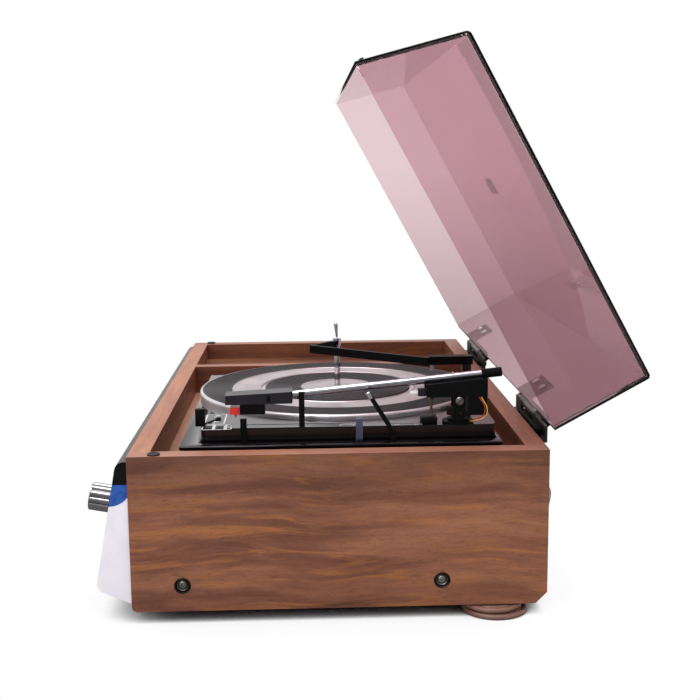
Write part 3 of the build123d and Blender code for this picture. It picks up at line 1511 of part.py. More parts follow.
# The tail from the coil to the plug
tail_route = [coil_end] + tail_points
tail_radii = corner_radii(tail_route)
print("tail radii", [round(radius, 1) for radius in tail_radii])
with BuildPart() as cord_tail:
    with BuildLine() as tail_line:
        FilletPolyline(*tail_route, radius=tail_radii)
    tail_wire = tail_line.wire()
    with BuildSketch(Plane(origin=tail_wire @ 0, z_dir=tail_wire % 0)):
        Circle(cord_radius)
    sweep()
print("tail length", round(tail_wire.length, 1), "tube error",
      round(cord_tail.part.volume / (pi * cord_radius**2 * tail_wire.length) - 1, 4))
cord_tail.part.label = "cord_tail"
export_step(cord_tail.part, "parts/cord_tail.step")

# Flat two-blade plug at the tail's end, lying in line with it
tail_out = (Vector(*tail_route[-1]) - Vector(*tail_route[-2])).normalized()
plug_plane = Plane(origin=tail_route[-1], x_dir=Vector(0, 0, 1).cross(tail_out), z_dir=tail_out)
with BuildPart() as power_plug:
    with BuildSketch(plug_plane):
        RectangleRounded(plug_width, plug_height, plug_round)
    extrude(amount=plug_length)
    with BuildSketch(plug_plane.offset(plug_length)):
        with GridLocations(blade_pitch, 0, 2, 1):
            Rectangle(blade_thickness, blade_width)
    extrude(amount=blade_length)
power_plug.part.label = "power_plug"
export_step(power_plug.part, "parts/power_plug.step")
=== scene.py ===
"""Looks of a compact stereo: walnut cabinet, record changer, tinted cover and sloping front."""

import logging
from collections.abc import Sequence
from dataclasses import dataclass
from enum import Enum
from math import atan2, cos, pi, radians, sin, tan

import bmesh
import bpy
from mathutils import Matrix, Vector


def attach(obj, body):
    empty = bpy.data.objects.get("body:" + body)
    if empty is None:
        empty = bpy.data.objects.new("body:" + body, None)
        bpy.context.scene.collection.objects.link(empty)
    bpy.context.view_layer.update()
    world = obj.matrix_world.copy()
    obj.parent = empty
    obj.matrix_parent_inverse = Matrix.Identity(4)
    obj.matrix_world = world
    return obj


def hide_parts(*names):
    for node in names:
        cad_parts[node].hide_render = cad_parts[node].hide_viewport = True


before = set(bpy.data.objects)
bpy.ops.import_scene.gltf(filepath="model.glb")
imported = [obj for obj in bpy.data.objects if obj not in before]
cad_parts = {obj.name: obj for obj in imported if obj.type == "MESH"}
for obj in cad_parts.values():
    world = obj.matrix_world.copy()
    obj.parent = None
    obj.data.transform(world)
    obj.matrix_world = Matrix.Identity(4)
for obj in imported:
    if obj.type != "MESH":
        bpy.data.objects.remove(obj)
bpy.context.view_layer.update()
logging.basicConfig(level=logging.INFO, format="%(message)s")
log = logging.getLogger("stereo")

MM = 0.001
UP = (0.0, 0.0, 1.0)
BACKWARDS = (0.0, 1.0, 0.0)
SIDEWAYS = (1.0, 0.0, 0.0)
ACRYLIC_IOR = 1.49
Point = tuple[float, float, float]
Profile = Sequence[tuple[float, float]]
Corners = tuple[Point, Point]


def linear(code: str) -> tuple[float, float, float, float]:
    """Turns an sRGB hex colour into linear values.

    Args:
        code: The colour, such as "#875643".

    Returns:
        Linear red, green and blue, with full alpha.
    """
    parts = [int(code[i:i + 2], 16) / 255 for i in (1, 3, 5)]
    red, green, blue = [c / 12.92 if c <= 0.04045 else ((c + 0.055) / 1.055) ** 2.4 for c in parts]
    return (red, green, blue, 1.0)


def add_node(tree: bpy.types.NodeTree, kind: str, feeds: dict | None = None,
             stops: tuple = (), **settings: object) -> bpy.types.Node:
    """Adds one node with its settings and links.

    Args:
        tree: The node tree that gets it.
        kind: Blender's name for the node.
        feeds: For each input, by name or number, a plain value or the socket that feeds it.
        stops: Places and colours of a ramp, each colour a hex code or a grey level.
        **settings: The node's own properties.

    Returns:
        The new node.
    """
    node = tree.nodes.new(kind)
    for name, value in settings.items():
        setattr(node, name, value)
    for step, (place, shade) in enumerate(stops):
        elements = node.color_ramp.elements
        if step == 0:
            element = elements[0]
        elif step == len(stops) - 1:
            element = elements[-1]
        else:
            element = elements.new(place)
        element.position = place
        element.color = linear(shade) if isinstance(shade, str) else (shade, shade, shade, 1.0)
    for key, value in (feeds or {}).items():
        if isinstance(value, bpy.types.NodeSocket):
            tree.links.new(value, node.inputs[key])
        else:
            node.inputs[key].default_value = value
    return node


def stand(name: str, data: bpy.types.ID) -> bpy.types.Object:
    """Makes an object of that name from its data and links it to the scene."""
    made = bpy.data.objects.new(name, data)
    bpy.context.scene.collection.objects.link(made)
    return made


class Grain(Enum):
    """How much a wood pattern is squeezed along X, Y and Z; the grain runs where it is least."""

    ALONG_X = (1.0, 14.0, 14.0)
    ALONG_Y = (14.0, 1.0, 14.0)


class Lay(Enum):
    """The way a metal's tool marks run."""

    ALONG_X = (0.02, 1.0, 1.0)
    ALONG_Y = (1.0, 0.02, 1.0)
    NONE = (1.0, 1.0, 1.0)


@dataclass(frozen=True)
class Finish:
    """A surface finish: one principled material, fed by its own pattern of nodes."""

    name: str

    def pattern(self, tree: bpy.types.NodeTree, place: bpy.types.NodeSocket) -> dict:
        """Builds the pattern.

        Args:
            tree: The material's node tree.
            place: Object coordinates, in metres.

        Returns:
            What feeds the shader's inputs, by their names.
        """
        raise NotImplementedError

    def finish_off(self, tree: bpy.types.NodeTree, output: bpy.types.Node) -> None:
        """Adds what goes beside the surface shader; most finishes add nothing."""

    def material(self) -> bpy.types.Material:
        """Returns the finish's material, built the first time it is asked for."""
        found = bpy.data.materials.get(self.name)
        if found:
            return found
        made = bpy.data.materials.new(self.name)
        made.use_nodes = True
        tree = made.node_tree
        tree.nodes.clear()
        place = add_node(tree, "ShaderNodeTexCoord").outputs["Object"]
        shader = add_node(tree, "ShaderNodeBsdfPrincipled", self.pattern(tree, place))
        output = add_node(tree, "ShaderNodeOutputMaterial", {"Surface": shader.outputs[0]})
        self.finish_off(tree, output)
        return made


@dataclass(frozen=True)
class Veneer(Finish):
    """Flat-cut veneer under satin lacquer: slow wavy bands, golden streaks and fine dark pores."""

    grain: Grain
    dark: str = "#5c3522"
    brown: str = "#764531"
    warm: str = "#8b563c"
    pale: str = "#9a6546"
    gold: str = "#a2642e"
    shift: Point = (0.0, 0.0, 0.0)
    roughness: float = 0.42
    # How strongly the tone follows height: darker towards the top, a little brighter above the
    # middle
    heart: float = 0.0
    # A lighter tone screened over faces that look upwards: painted highlight on the top edges
    edging: str = "#6a3f2c"
    sway: float = 0.028
    foot: float = 0.011
    rim: float = 0.1485

    def pattern(self, tree: bpy.types.NodeTree, place: bpy.types.NodeSocket) -> dict:
        """Builds bands 25 mm, growth lines 7 mm, fibres 1.5 mm and pores 0.6 mm across."""
        moved = add_node(tree, "ShaderNodeVectorMath", {0: place, 1: self.shift}, operation="ADD")
        swung = add_node(tree, "ShaderNodeTexNoise", {
            "Vector": moved.outputs[0], "Scale": 7.0, "Detail": 2.0, "Roughness": 0.4})
        centred = add_node(tree, "ShaderNodeVectorMath", {
            0: swung.outputs["Color"], 1: (0.5, 0.5, 0.5)}, operation="SUBTRACT")
        pushed = add_node(tree, "ShaderNodeVectorMath", {
            0: centred.outputs[0], 1: (self.sway, self.sway, self.sway)}, operation="MULTIPLY")
        wavy = add_node(tree, "ShaderNodeVectorMath", {
            0: moved.outputs[0], 1: pushed.outputs[0]}, operation="ADD").outputs[0]
        laid = add_node(tree, "ShaderNodeMapping", {
            "Vector": wavy, "Scale": self.grain.value}).outputs[0]
        # The broad figure is squeezed less, so that it crosses the straight one
        loose = add_node(tree, "ShaderNodeVectorMath", {
            0: wavy, 1: tuple(max(1.0, squeeze / 2.4) for squeeze in self.grain.value)},
            operation="MULTIPLY").outputs[0]
        # Across the grain these are bands 26 mm, strips 14 mm, streaks 9 mm, fibres and pores
        broad, strip, streak, fibre, pore = (
            add_node(tree, "ShaderNodeTexNoise", {
                "Vector": way, "Scale": scale, "Detail": detail, "Roughness": rough,
                "Distortion": twist}).outputs[0]
            for way, scale, detail, rough, twist in (
                (loose, 6.5, 3.0, 0.5, 0.5),
                (laid, 5.0, 3.0, 0.5, 0.0),
                (laid, 8.0, 4.0, 0.6, 1.2),
                (laid, 48.0, 4.0, 0.65, 0.0),
                (laid, 130.0, 1.0, 0.5, 0.0)))
        ring = add_node(tree, "ShaderNodeTexWave", {
            "Vector": laid, "Scale": 3.0, "Distortion": 5.0, "Detail": 3.0, "Detail Scale": 0.7,
            "Detail Roughness": 0.5}, wave_type="BANDS", bands_direction="DIAGONAL").outputs["Fac"]
        figure = add_node(tree, "ShaderNodeMix", {0: 0.6, 2: broad, 3: strip}).outputs[0]
        # Tone by height between foot and rim: darker towards the top, a little brighter above the
        # middle
        height = add_node(tree, "ShaderNodeSeparateXYZ", {0: wavy}).outputs["Z"]
        rise = add_node(tree, "ShaderNodeMapRange", {
            "Value": height, "From Min": self.shift[2] + self.foot,
            "From Max": self.shift[2] + self.rim}).outputs[0]
        band, lit, lines, strands, dots, height_ramp = (
            add_node(tree, "ShaderNodeValToRGB", {"Fac": value}, stops).outputs[0]
            for value, stops in (
                (figure, ((0.30, self.dark), (0.44, self.brown), (0.57, self.warm),
                          (0.72, self.pale))),
                (streak, ((0.52, 0.0), (0.68, 0.7))),
                (ring, ((0.0, 0.80), (0.5, 0.97), (1.0, 1.0))),
                (fibre, ((0.32, 0.70), (0.52, 1.0), (0.72, 1.12))),
                (pore, ((0.31, 0.6), (0.37, 1.0))),
                (rise, ((0.0, 0.98), (0.25, 0.99), (0.55, 1.06), (0.80, 0.76), (1.0, 0.60)))))
        # Faces that look upwards get the lighter tone screened over them: painted highlight
        normal = add_node(tree, "ShaderNodeNewGeometry").outputs["True Normal"]
        facing = add_node(tree, "ShaderNodeSeparateXYZ", {0: normal}).outputs["Z"]
        lid = add_node(tree, "ShaderNodeMapRange", {
            "Value": facing, "From Min": 0.6, "From Max": 0.95}).outputs[0]
        tone = band
        for share, layer, way in (
                (lit, linear(self.gold), "MIX"), (0.5, lines, "MULTIPLY"),
                (0.6, strands, "MULTIPLY"), (0.85, dots, "MULTIPLY"),
                (self.heart, height_ramp, "MULTIPLY"), (lid, linear(self.edging), "SCREEN")):
            tone = add_node(tree, "ShaderNodeMix", {0: share, 6: tone, 7: layer},
                            data_type="RGBA", blend_type=way).outputs[2]
        gloss = add_node(tree, "ShaderNodeMapRange", {
            "Value": fibre, "To Min": self.roughness + 0.08, "To Max": self.roughness - 0.06})
        relief = add_node(tree, "ShaderNodeBump", {
            "Height": dots, "Strength": 0.25, "Distance": 0.08 * MM})
        return {"Base Color": tone, "Roughness": gloss.outputs[0],
                "Normal": relief.outputs[0], "Specular IOR Level": 0.4}


@dataclass(frozen=True)
class Moulding(Finish):
    """A moulded or painted skin: faint clouding, uneven gloss and a fine grit."""

    colour: str
    shade: str
    roughness: float
    grit: float = 0.35
    depth: float = 0.02
    spread: float = 0.06
    specular: float = 0.5
    sheen: float = 0.0
    tint: str = "#ffffff"

    def pattern(self, tree: bpy.types.NodeTree, place: bpy.types.NodeSocket) -> dict:
        """Builds 25 mm clouds and a grit whose size and depth are given in millimetres."""
        cloud = add_node(tree, "ShaderNodeTexNoise", {"Vector": place, "Scale": 40.0, "Detail": 5.0,
                                                      "Roughness": 0.6})
        tone = add_node(tree, "ShaderNodeValToRGB", {"Fac": cloud.outputs[0]},
                        ((0.35, self.shade), (0.65, self.colour)))
        gloss = add_node(tree, "ShaderNodeMapRange",
                         {"Value": cloud.outputs[0], "To Min": self.roughness - self.spread,
                          "To Max": self.roughness + self.spread})
        grain = add_node(tree, "ShaderNodeTexNoise", {
            "Vector": place, "Scale": 1.0 / (self.grit * MM), "Detail": 2.0})
        relief = add_node(tree, "ShaderNodeBump", {
            "Height": grain.outputs[0], "Strength": 0.5, "Distance": self.depth * MM})
        return {"Base Color": tone.outputs[0], "Roughness": gloss.outputs[0],
                "Normal": relief.outputs[0], "Specular IOR Level": self.specular,
                "Sheen Weight": self.sheen, "Specular Tint": linear(self.tint)}


@dataclass(frozen=True)
class Metal(Finish):
    """A bare or plated metal with tool marks along one way, or none, and faint tarnish."""

    colour: str
    shade: str
    roughness: float
    lay: Lay = Lay.NONE
    mark: float = 0.3
    depth: float = 0.004
    spread: float = 0.04
    metallic: float = 1.0

    def pattern(self, tree: bpy.types.NodeTree, place: bpy.types.NodeSocket) -> dict:
        """Builds tool marks whose spacing and depth are given in millimetres, over 20 mm clouds."""
        laid = add_node(tree, "ShaderNodeMapping", {"Vector": place, "Scale": self.lay.value})
        marks = add_node(tree, "ShaderNodeTexNoise", {
            "Vector": laid.outputs[0], "Scale": 1.0 / (self.mark * MM), "Detail": 3.0,
            "Roughness": 0.6})
        cloud = add_node(tree, "ShaderNodeTexNoise", {
            "Vector": place, "Scale": 50.0, "Detail": 4.0})
        tone = add_node(tree, "ShaderNodeValToRGB", {"Fac": cloud.outputs[0]},
                        ((0.35, self.shade), (0.6, self.colour)))
        gloss = add_node(tree, "ShaderNodeMapRange", {
            "Value": marks.outputs[0], "To Min": self.roughness - self.spread,
            "To Max": self.roughness + self.spread})
        relief = add_node(tree, "ShaderNodeBump", {
            "Height": marks.outputs[0], "Strength": 0.5, "Distance": self.depth * MM})
        return {"Base Color": tone.outputs[0], "Metallic": self.metallic,
                "Roughness": gloss.outputs[0], "Normal": relief.outputs[0]}


@dataclass(frozen=True)
class SpunMetal(Finish):
    """Aluminium turned on a lathe: rings about the spindle fan its gloss out as bright sectors."""

    colour: str
    shade: str
    roughness: float
    centre: tuple[float, float]
    ring: float = 0.7
    metallic: float = 1.0
    spread: float = 0.07
    depth: float = 0.02

    def pattern(self, tree: bpy.types.NodeTree, place: bpy.types.NodeSocket) -> dict:
        """Builds tool rings whose spacing and depth are given in millimetres."""
        offset = (self.centre[0] * MM, self.centre[1] * MM, 0.0)
        local = add_node(tree, "ShaderNodeVectorMath", {0: place, 1: offset}, operation="SUBTRACT")
        flat = add_node(tree, "ShaderNodeVectorMath", {
            0: local.outputs[0], 1: (1.0, 1.0, 0.0)}, operation="MULTIPLY")
        reach = add_node(tree, "ShaderNodeVectorMath", {0: flat.outputs[0]}, operation="LENGTH")
        rings = add_node(tree, "ShaderNodeTexNoise", {
            "W": reach.outputs["Value"], "Scale": 1.0 / (self.ring * MM), "Detail": 3.0,
            "Roughness": 0.7}, noise_dimensions="1D")
        cloud = add_node(tree, "ShaderNodeTexNoise", {
            "Vector": place, "Scale": 30.0, "Detail": 4.0})
        tone = add_node(tree, "ShaderNodeValToRGB", {"Fac": cloud.outputs[0]},
                        ((0.35, self.shade), (0.6, self.colour)))
        cut = add_node(tree, "ShaderNodeValToRGB", {"Fac": rings.outputs[0]},
                       ((0.3, 0.8), (0.6, 1.0)))
        toned = add_node(tree, "ShaderNodeMix", {0: 0.8, 6: tone.outputs[0], 7: cut.outputs[0]},
                         data_type="RGBA", blend_type="MULTIPLY")
        gloss = add_node(tree, "ShaderNodeMapRange", {
            "Value": rings.outputs[0], "To Min": self.roughness - self.spread,
            "To Max": self.roughness + self.spread})
        relief = add_node(tree, "ShaderNodeBump", {
            "Height": rings.outputs[0], "Strength": 0.35, "Distance": self.depth * MM})
        return {"Base Color": toned.outputs[2], "Metallic": self.metallic,
                "Roughness": gloss.outputs[0], "Normal": relief.outputs[0]}


@dataclass(frozen=True)
class PressedBoard(Finish):
    """Pressed fibre or chip board: flakes of two tones, dull and slightly rough."""

    colour: str
    shade: str
    flake: float
    roughness: float = 0.8

    def pattern(self, tree: bpy.types.NodeTree, place: bpy.types.NodeSocket) -> dict:
        """Builds flakes whose size is given in millimetres."""
        flakes = add_node(tree, "ShaderNodeTexVoronoi", {
            "Vector": place, "Scale": 1.0 / (self.flake * MM)})
        tone = add_node(tree, "ShaderNodeValToRGB", {"Fac": flakes.outputs["Color"]},
                        ((0.1, self.shade), (0.9, self.colour)))
        dust = add_node(tree, "ShaderNodeTexNoise", {
            "Vector": place, "Scale": 900.0, "Detail": 3.0})
        relief = add_node(tree, "ShaderNodeBump", {
            "Height": dust.outputs[0], "Strength": 0.6, "Distance": 0.1 * MM})
        return {"Base Color": tone.outputs[0], "Roughness": self.roughness,
                "Normal": relief.outputs[0], "Specular IOR Level": 0.3}


@dataclass(frozen=True)
class CastAcrylic(Finish):
    """Clear acrylic dyed through, with painted shade that greys it towards the hinges."""

    absorbed: str
    density: float
    roughness: float = 0.02
    wiped: float = 0.03
    # Heights in metres over which the painted shade near the hinges fades out
    film: tuple[float, float] = (0.17, 0.42)

    def pattern(self, tree: bpy.types.NodeTree, place: bpy.types.NodeSocket) -> dict:
        """Builds the polish, with faint wiping marks 4 mm apart, and the painted shade towards the
        hinges.
        """
        marks = add_node(tree, "ShaderNodeTexNoise", {
            "Vector": place, "Scale": 240.0, "Detail": 4.0})
        gloss = add_node(tree, "ShaderNodeMapRange", {
            "Value": marks.outputs[0], "From Min": 0.4, "From Max": 0.8,
            "To Min": self.roughness, "To Max": self.roughness + self.wiped})
        # Greyer low down, towards the hinges, and white higher up: painted shade, set by height in
        # the cover's own coordinates
        height = add_node(tree, "ShaderNodeSeparateXYZ", {0: place})
        film = add_node(tree, "ShaderNodeMapRange", {
            "Value": height.outputs["Z"], "From Min": self.film[0], "From Max": self.film[1]})
        clear = add_node(tree, "ShaderNodeValToRGB", {"Fac": film.outputs[0]},
                         ((0.0, "#d2cccd"), (0.3, "#e6e2e3"), (0.6, "#f6f4f4"), (0.85, "#ffffff")))
        return {"Base Color": clear.outputs[0], "Roughness": gloss.outputs[0], "IOR": ACRYLIC_IOR,
                "Transmission Weight": 1.0}

    def finish_off(self, tree: bpy.types.NodeTree, output: bpy.types.Node) -> None:
        """Adds the dye."""
        dye = add_node(tree, "ShaderNodeVolumeAbsorption", {
            "Color": linear(self.absorbed), "Density": self.density})
        tree.links.new(dye.outputs[0], output.inputs["Volume"])


@dataclass(frozen=True)
class DyedLens(Finish):
    """Moulded acrylic with so much dye that its ends glow in its own colour."""

    colour: str
    shade: str
    roughness: float = 0.12
    clearness: float = 0.45

    def pattern(self, tree: bpy.types.NodeTree, place: bpy.types.NodeSocket) -> dict:
        """Builds moulding flow lines that run the length of the lens, 6 mm apart."""
        laid = add_node(tree, "ShaderNodeMapping", {"Vector": place, "Scale": (0.1, 1.0, 1.0)})
        flow = add_node(tree, "ShaderNodeTexNoise", {
            "Vector": laid.outputs[0], "Scale": 160.0, "Detail": 3.0})
        tone = add_node(tree, "ShaderNodeValToRGB", {"Fac": flow.outputs[0]},
                        ((0.35, self.shade), (0.65, self.colour)))
        return {"Base Color": tone.outputs[0], "Roughness": self.roughness, "IOR": ACRYLIC_IOR,
                "Transmission Weight": self.clearness}


# The right-hand panel's own sheet of veneer: the broadest figure, warm brown with golden waves, and
# a brighter painted highlight on its top edge
SIDE_VENEER = Veneer("walnut_veneer_side", Grain.ALONG_Y, shift=(0.3, 0.11, 0.62), heart=0.8,
                     edging="#7c5242")
# The left panel and the divider take darker tones of the same walnut: painted shade, for their
# faces are seen in shade inside the tray
LEFT_VENEER = Veneer("walnut_veneer_left", Grain.ALONG_Y, dark="#472515", brown="#613624",
                     warm="#74442c", pale="#865236", gold="#85501f", shift=(2.1, 0.4, 1.3))
# The rails' grain runs across the cabinet, with the same lacquer
RAIL_VENEER = Veneer("walnut_veneer_rails", Grain.ALONG_X, shift=(0.9, 1.7, 0.2))
# The tray's floor is darker: painted shade, for it lies in shade
TRAY_VENEER = Veneer("walnut_veneer_tray", Grain.ALONG_Y, dark="#462619", brown="#633a2a",
                     warm="#74462f", pale="#855638", gold="#7f5030", shift=(1.4, 2.3, 0.7),
                     edging="#100806")
# Chip board: visible flakes, sandy brown, only seen from below and inside
CHIP_BOARD = PressedBoard("chip_board", "#b08a5c", "#7c5a38", 3.0)
# The motor board's walnut-faced top; its pale tones are painted light on the board down in the bay
FACED_BOARD = Veneer("walnut_faced_board", Grain.ALONG_X, dark="#6d4a3a", brown="#8a6350",
                     warm="#9a725c", pale="#a98069", gold="#a47a5c", shift=(3.1, 0.8, 0.5),
                     roughness=0.55)
# Tempered hardboard: dark brown, its pressed fibres barely show
HARDBOARD = PressedBoard("tempered_hardboard", "#4c3524", "#3a271a", 1.2, 0.6)
# Stove enamel on the pressed deck plate: black, glossy, slightly orange-peeled
DECK_ENAMEL = Moulding("black_stove_enamel", "#0c0c0e", "#060608", 0.13, grit=1.6, depth=0.008,
                       spread=0.04, tint="#fff0f6")
# Moulded styrene of the control plate: black and shiny
GLOSS_STYRENE = Moulding("black_styrene", "#0a0a0c", "#060607", 0.17, grit=0.5, depth=0.003,
                         spread=0.04, tint="#fff0f6")
# The visor is the same styrene, polished less, so its ends stay black
VISOR_STYRENE = Moulding("visor_styrene", "#0a090c", "#060507", 0.3, grit=0.5, depth=0.003,
                         specular=0.22)
# The headshell: a bluish black with a satin skin
SATIN_STYRENE = Moulding("satin_black_styrene", "#24212b", "#1a181f", 0.32, grit=0.4,
                         depth=0.008, specular=0.3)
# Matt black mouldings: the arm's base, yoke and housing, cueing lever, buttons and sockets
MATT_STYRENE = Moulding("matt_black_styrene", "#0c0c0e", "#070708", 0.5, grit=0.3, depth=0.015,
                        specular=0.12)
# The overarm, start and speed levers are spark-textured: they keep black even at a low angle
TEXTURED_STYRENE = Moulding("spark_textured_styrene", "#0b0a0b", "#060606", 0.42, grit=0.4,
                            depth=0.03, specular=0.1)
# Urea moulding of the size lever: slate grey-blue
SLATE_MOULDING = Moulding("slate_moulding", "#4c5069", "#3f4359", 0.45)
# Red styrene of the stylus tab: clear bright red
RED_STYRENE = Moulding("red_styrene", "#ee2420", "#dc1c18", 0.3)
# White screen ink of the printed frames and the dial: thin and dry, and no black shows through
WHITE_INK = Moulding("white_screen_ink", "#d9d6d8", "#bdb9bc", 0.6, depth=0.002)
# Black screen ink of the front panel's figures
DARK_INK = Moulding("black_screen_ink", "#1d1c20", "#141317", 0.6, depth=0.002)
# White styrene of the finger tab and the headshell's dot: clean, a little glossy
WHITE_STYRENE = Moulding("white_styrene", "#e4e1e0", "#cfcbc9", 0.35)
# Unfilled nylon of the record pusher: milky, slightly waxy
NYLON = Moulding("natural_nylon", "#a79c92", "#8d8278", 0.4)
# Fine vinyl of the pickup leads: soft red and yellow sheaths with a light shine
RED_LEAD = Moulding("red_vinyl", "#c0301f", "#a02818", 0.4, depth=0.002)
YELLOW_LEAD = Moulding("yellow_vinyl", "#d8b848", "#c0a038", 0.4, depth=0.002)
# Nitrile of the mats: grey-black, dusty, ribbed
MAT_RUBBER = Moulding("ribbed_mat_rubber", "#352f31", "#292426", 0.55, grit=0.8, depth=0.05,
                      specular=0.25, sheen=0.05)
# Black rubber of feet, bumpers, buffers, mounts and idler: dull, with a floury skin
SOFT_RUBBER = Moulding("black_rubber", "#1c1b1b", "#121212", 0.7, grit=0.6, depth=0.04)
# Turned and clear-anodised aluminium of the platter's shell
PLATTER_METAL = SpunMetal("turned_aluminium", "#d5ced2", "#c0b9be", 0.3, (98.0, 4.5), 0.6, 0.55)
# The mats' trim ring and cap: the same metal, a little greyer, with coarser rings
TRIM_METAL = SpunMetal("bright_turned_aluminium", "#c0b2b6", "#a99ca0", 0.34, (98.0, 4.5), 0.9, 0.8)
# Chrome plate: mirror bright with the faintest haze
CHROME = Metal("chrome_plate", "#e6e6ea", "#d2d2d8", 0.09, mark=0.8, depth=0.0005)
# The knobs' plating is darker, with worn ridges
KNOB_CHROME = Metal("worn_chrome_plate", "#a3a1a4", "#8d8b8f", 0.12, mark=0.8, depth=0.0005)
# Drawn and plated arm tube: marks run along it
DRAWN_CHROME = Metal("drawn_chrome_tube", "#bfbfc8", "#a9a9b2", 0.14, Lay.ALONG_Y, 0.3)
# Zinc-plated steel: greyish, slightly yellow, duller than chrome
ZINC_PLATE = Metal("zinc_plate", "#a9a6a0", "#8b8883", 0.34, mark=0.5)
# Blackened steel of the cup washers, the hinge springs and the overarm's shaft: oily brown-black
BLACKED_STEEL = Metal("blackened_steel", "#423a38", "#2c2625", 0.38, mark=0.5)
# Nickel-dull steel of the piano hinges: grey, made dark as painted shade, for they lie in shade
# behind the cabinet
HINGE_STEEL = Metal("shaded_hinge_steel", "#4a4546", "#353031", 0.36, Lay.ALONG_X, 0.4)
# The clips and washers are pale passivated sheet, chalky rather than bright; their near-white is
# partly their own colour, partly painted light against the cover's shadow on them
CLIP_STEEL = Metal("pale_sheet_painted_light", "#eeebee", "#dcd9dc", 0.5, Lay.ALONG_X, 0.4, metallic=0.1)
# Turned brass of bearing and pulley: yellow, worn pale
BRASS = Metal("turned_brass", "#bfa266", "#99804c", 0.28, mark=0.3)
# The lifting post's brass has gone dull and brown
DULL_BRASS = Metal("tarnished_brass", "#8d7f63", "#6f6249", 0.4, mark=0.3)
# Brushed and anodised fascia: pale satin, its lines run across
FASCIA_METAL = Metal("brushed_anodised_aluminium", "#efeaf2", "#e9e4ec", 0.5, Lay.ALONG_X, 0.25,
                     0.003, metallic=0.25)
# Lacquered steel of the transformer's laminations: dull grey, lined like a stack of sheets
LAMINATION = Metal("lacquered_laminations", "#5d5a58", "#454240", 0.5, Lay.ALONG_X, 0.5, 0.05)
# Hammer paint of the motor: grey, with fine dimples
MOTOR_PAINT = Moulding("grey_hammer_paint", "#6b6d72", "#54565b", 0.45, grit=1.2, depth=0.08)
# Phenolic circuit board: tan, waxy
PHENOLIC = PressedBoard("phenolic_board", "#8f6a34", "#775527", 1.5, 0.5)
# Smoked pink cast acrylic of the dust cover: clear, and darker the more wall is looked through
COVER_ACRYLIC = CastAcrylic("smoked_pink_acrylic", "#c10069", 115.0)
# Deep blue acrylic of the dial lens
LENS_ACRYLIC = DyedLens("deep_blue_acrylic", "#3a70cf", "#2c5cb4")
# Brown vinyl sheath of the mains lead, matt and a little dusty
CORD_VINYL = Moulding("brown_vinyl", "#8a6558", "#765347", 0.4, grit=0.5, depth=0.02)


def dress(finish: Finish, *nodes: str) -> None:
    """Gives carried CAD nodes their finish.

    Args:
        finish: The finish.
        *nodes: The nodes' names.
    """
    for name in nodes:
        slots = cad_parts[name].data.materials
        if len(slots) == 0:
            slots.append(finish.material())
        for place in range(len(slots)):
            slots[place] = finish.material()
        log.info("node %s: %s", name, finish.name)


def lay_lead(name: str, finish: Finish, points: Sequence[Point], radius: float, steps: int,
             sides: int) -> bpy.types.Object:
    """Lays a lead as one NURBS spline with a round section.

    Args:
        name: The piece's name.
        finish: Its sheath.
        points: The route's control points, in millimetres.
        radius: Half the lead's thickness, in millimetres.
        steps: Steps along each stretch of the spline.
        sides: How finely its section is rounded.

    Returns:
        The lead's object.
    """
    data = bpy.data.curves.new(name, "CURVE")
    data.dimensions = "3D"
    data.bevel_depth = radius * MM
    data.bevel_resolution = sides
    data.resolution_u = steps
    spline = data.splines.new("NURBS")
    spline.points.add(len(points) - 1)
    for point, (x, y, z) in zip(spline.points, points):
        point.co = (x * MM, y * MM, z * MM, 1.0)
    spline.order_u = 3
    spline.use_endpoint_u = True
    data.materials.append(finish.material())
    return stand(name, data)


